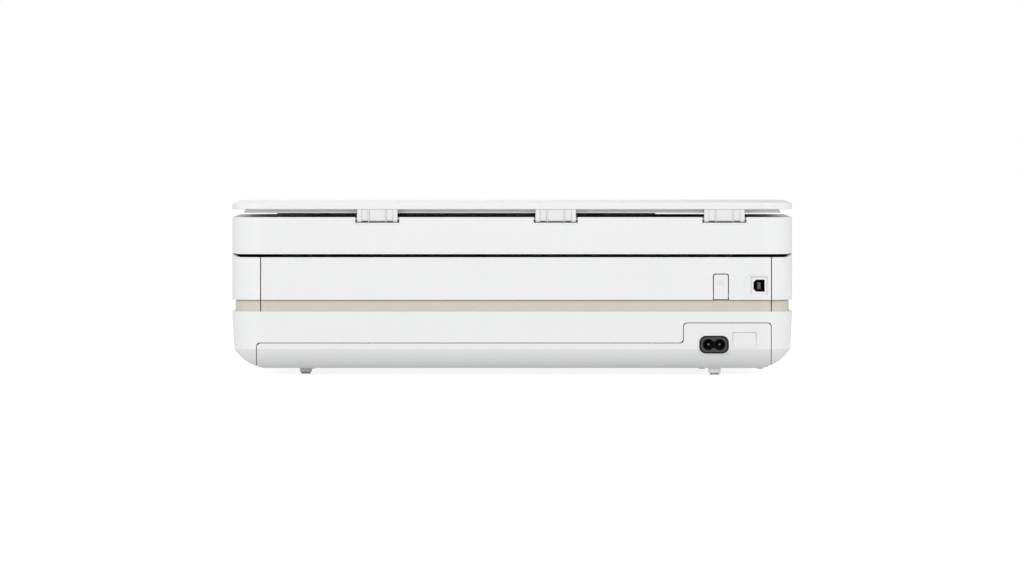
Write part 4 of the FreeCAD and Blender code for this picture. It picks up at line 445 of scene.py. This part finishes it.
def foam_pad():
    """Foam pad in a white film: crowned below, rolled at the rim and sealed along a line near its edge."""
    low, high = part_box("lid_pad")
    middle = (low + high) / 2
    half = (high - low) / 2
    xs = spread(low.x, high.x, PAD_ROLL, PAD_STATION)
    ys = spread(low.y, high.y, PAD_ROLL, PAD_STATION)
    edit = bmesh.new()
    for way in (-1, 1):
        rows = []
        for x in xs:
            row = []
            for y in ys:
                u, v = (x - middle.x) / half.x, (y - middle.y) / half.y
                inside = (half.x - abs(x - middle.x), half.y - abs(y - middle.y))
                roll = rolled(inside[0], PAD_ROLL) * rolled(inside[1], PAD_ROLL)
                rise = half.z * roll
                if way < 0:
                    rise -= PAD_CROWN * roll * (1.0 - (1.0 - u * u) * (1.0 - v * v))
                    rise -= PAD_SEAL_DEPTH * math.exp(-((min(inside) - PAD_SEAL) / PAD_SEAL_WIDTH) ** 2)
                    rise -= PAD_RIPPLE * roll * (1.0 + math.sin(x * 210.0 + 3.0 * math.sin(y * 90.0)))
                px = x - math.copysign(PAD_PULL, u) * abs(u) * (1.0 - v * v)
                py = y - math.copysign(PAD_PULL, v) * abs(v) * (1.0 - u * u)
                row.append(edit.verts.new((px, py, middle.z + way * max(rise, 0.0))))
            rows.append(row)
        for a, b in zip(rows, rows[1:]):
            for k in range(len(ys) - 1):
                edit.faces.new((a[k], b[k], b[k + 1], a[k + 1]))
    bmesh.ops.remove_doubles(edit, verts=edit.verts, dist=0.01 * MM)
    bmesh.ops.recalc_face_normals(edit, faces=edit.faces)
    mesh = bpy.data.meshes.new("foam_pad")
    edit.to_mesh(mesh)
    edit.free()
    for polygon in mesh.polygons:
        polygon.use_smooth = True
    mesh.materials.append(MATERIALS["pad"])
    pad = bpy.data.objects.new("foam_pad", mesh)
    bpy.context.scene.collection.objects.link(pad)
    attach(pad, "lid")
    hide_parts("lid_pad")


foam_pad()


# ---- floor, light and camera ----
def area_light(name, place, aim, size, power):
    data = bpy.data.lights.new(name, "AREA")
    data.shape = "RECTANGLE"
    data.size, data.size_y = size
    data.energy = power
    lamp = bpy.data.objects.new(name, data)
    bpy.context.scene.collection.objects.link(lamp)
    lamp.location = place
    lamp.rotation_euler = (Vector(aim) - Vector(place)).to_track_quat("-Z", "Y").to_euler()


FLOOR_GLOW = 0.25          # light that the floor gives the object
FLOOR_GLOW_SEEN = 0.74     # how bright it looks, so that it joins the white background


def floor():
    mesh = bpy.data.meshes.new("floor")
    edit = bmesh.new()
    bmesh.ops.create_circle(edit, cap_ends=True, segments=96, radius=30.0)
    edit.to_mesh(mesh)
    edit.free()
    plane = bpy.data.objects.new("floor", mesh)
    bpy.context.scene.collection.objects.link(plane)
    material, tree, shader, place = new_material("pale_floor")
    speck = tree.noise(place, 6.0, 3.0)
    tint = tree.mix(tree.span(speck, 0.3, 0.7, 0.0, 1.0), (0.50, 0.50, 0.50), (0.51, 0.51, 0.51))
    tree.link(tint, shader.inputs["Base Color"])
    shader.inputs["Roughness"].default_value = 0.9
    shader.inputs["Specular IOR Level"].default_value = 0.1
    shader.inputs["Emission Color"].default_value = (1.0, 1.0, 1.0, 1.0)
    seen = tree.add("ShaderNodeLightPath").outputs["Is Camera Ray"]
    tree.link(tree.span(seen, 0.0, 1.0, FLOOR_GLOW, FLOOR_GLOW_SEEN), shader.inputs["Emission Strength"])
    mesh.materials.append(material)


def studio_world():
    world = bpy.data.worlds.new("studio")
    bpy.context.scene.world = world
    world.use_nodes = True
    tree = Tree(world.node_tree)
    output = tree.add("ShaderNodeOutputWorld")
    soft = tree.add("ShaderNodeBackground")
    soft.inputs["Color"].default_value = (1.0, 1.0, 1.0, 1.0)
    soft.inputs["Strength"].default_value = 0.55
    plain = tree.add("ShaderNodeBackground")
    plain.inputs["Color"].default_value = (1.0, 1.0, 1.0, 1.0)
    plain.inputs["Strength"].default_value = 1.0
    mix = tree.add("ShaderNodeMixShader")
    tree.link(tree.add("ShaderNodeLightPath").outputs["Is Camera Ray"], mix.inputs["Fac"])
    tree.link(soft.outputs["Background"], mix.inputs[1])
    tree.link(plain.outputs["Background"], mix.inputs[2])
    tree.link(mix.outputs["Shader"], output.inputs["Surface"])


CAMERA_BACK = 12.0
CAMERA_Z = 0.209
AIM_Z = 0.0674
AIM_X = 0.0002
SENSOR = 36.0
LENS = 547.2


def camera():
    data = bpy.data.cameras.new("camera")
    data.sensor_width = SENSOR
    data.lens = LENS
    data.clip_end = 200.0
    body = bpy.data.objects.new("camera", data)
    bpy.context.scene.collection.objects.link(body)
    rear = CAD_BOX[1][1]
    body.location = (AIM_X, rear + CAMERA_BACK, CAMERA_Z)
    aim = Vector((AIM_X, rear, AIM_Z))
    body.rotation_euler = (aim - body.location).to_track_quat("-Z", "Y").to_euler()
    bpy.context.scene.camera = body


floor()
studio_world()
area_light("rear_left_box", (1.2, 1.9, 0.7), (0.1, 0.1, 0.07), (1.0, 1.0), 11.0)
area_light("rear_right_box", (-1.2, 1.9, 0.7), (-0.1, 0.1, 0.07), (1.0, 1.0), 11.0)
area_light("left_strip", (2.2, 0.3, 0.6), (0.2, 0.15, 0.07), (0.5, 1.2), 6.0)
area_light("right_strip", (-2.2, 0.3, 0.6), (-0.2, 0.15, 0.07), (0.5, 1.2), 6.0)
area_light("top_box", (0.0, 0.3, 2.0), (0.0, 0.0, 0.05), (2.0, 1.4), 4.0)
area_light("front_box", (0.5, -2.0, 0.9), (0.0, -0.1, 0.07), (1.4, 1.0), 5.0)
camera()
bpy.context.scene.view_settings.view_transform = "Standard"
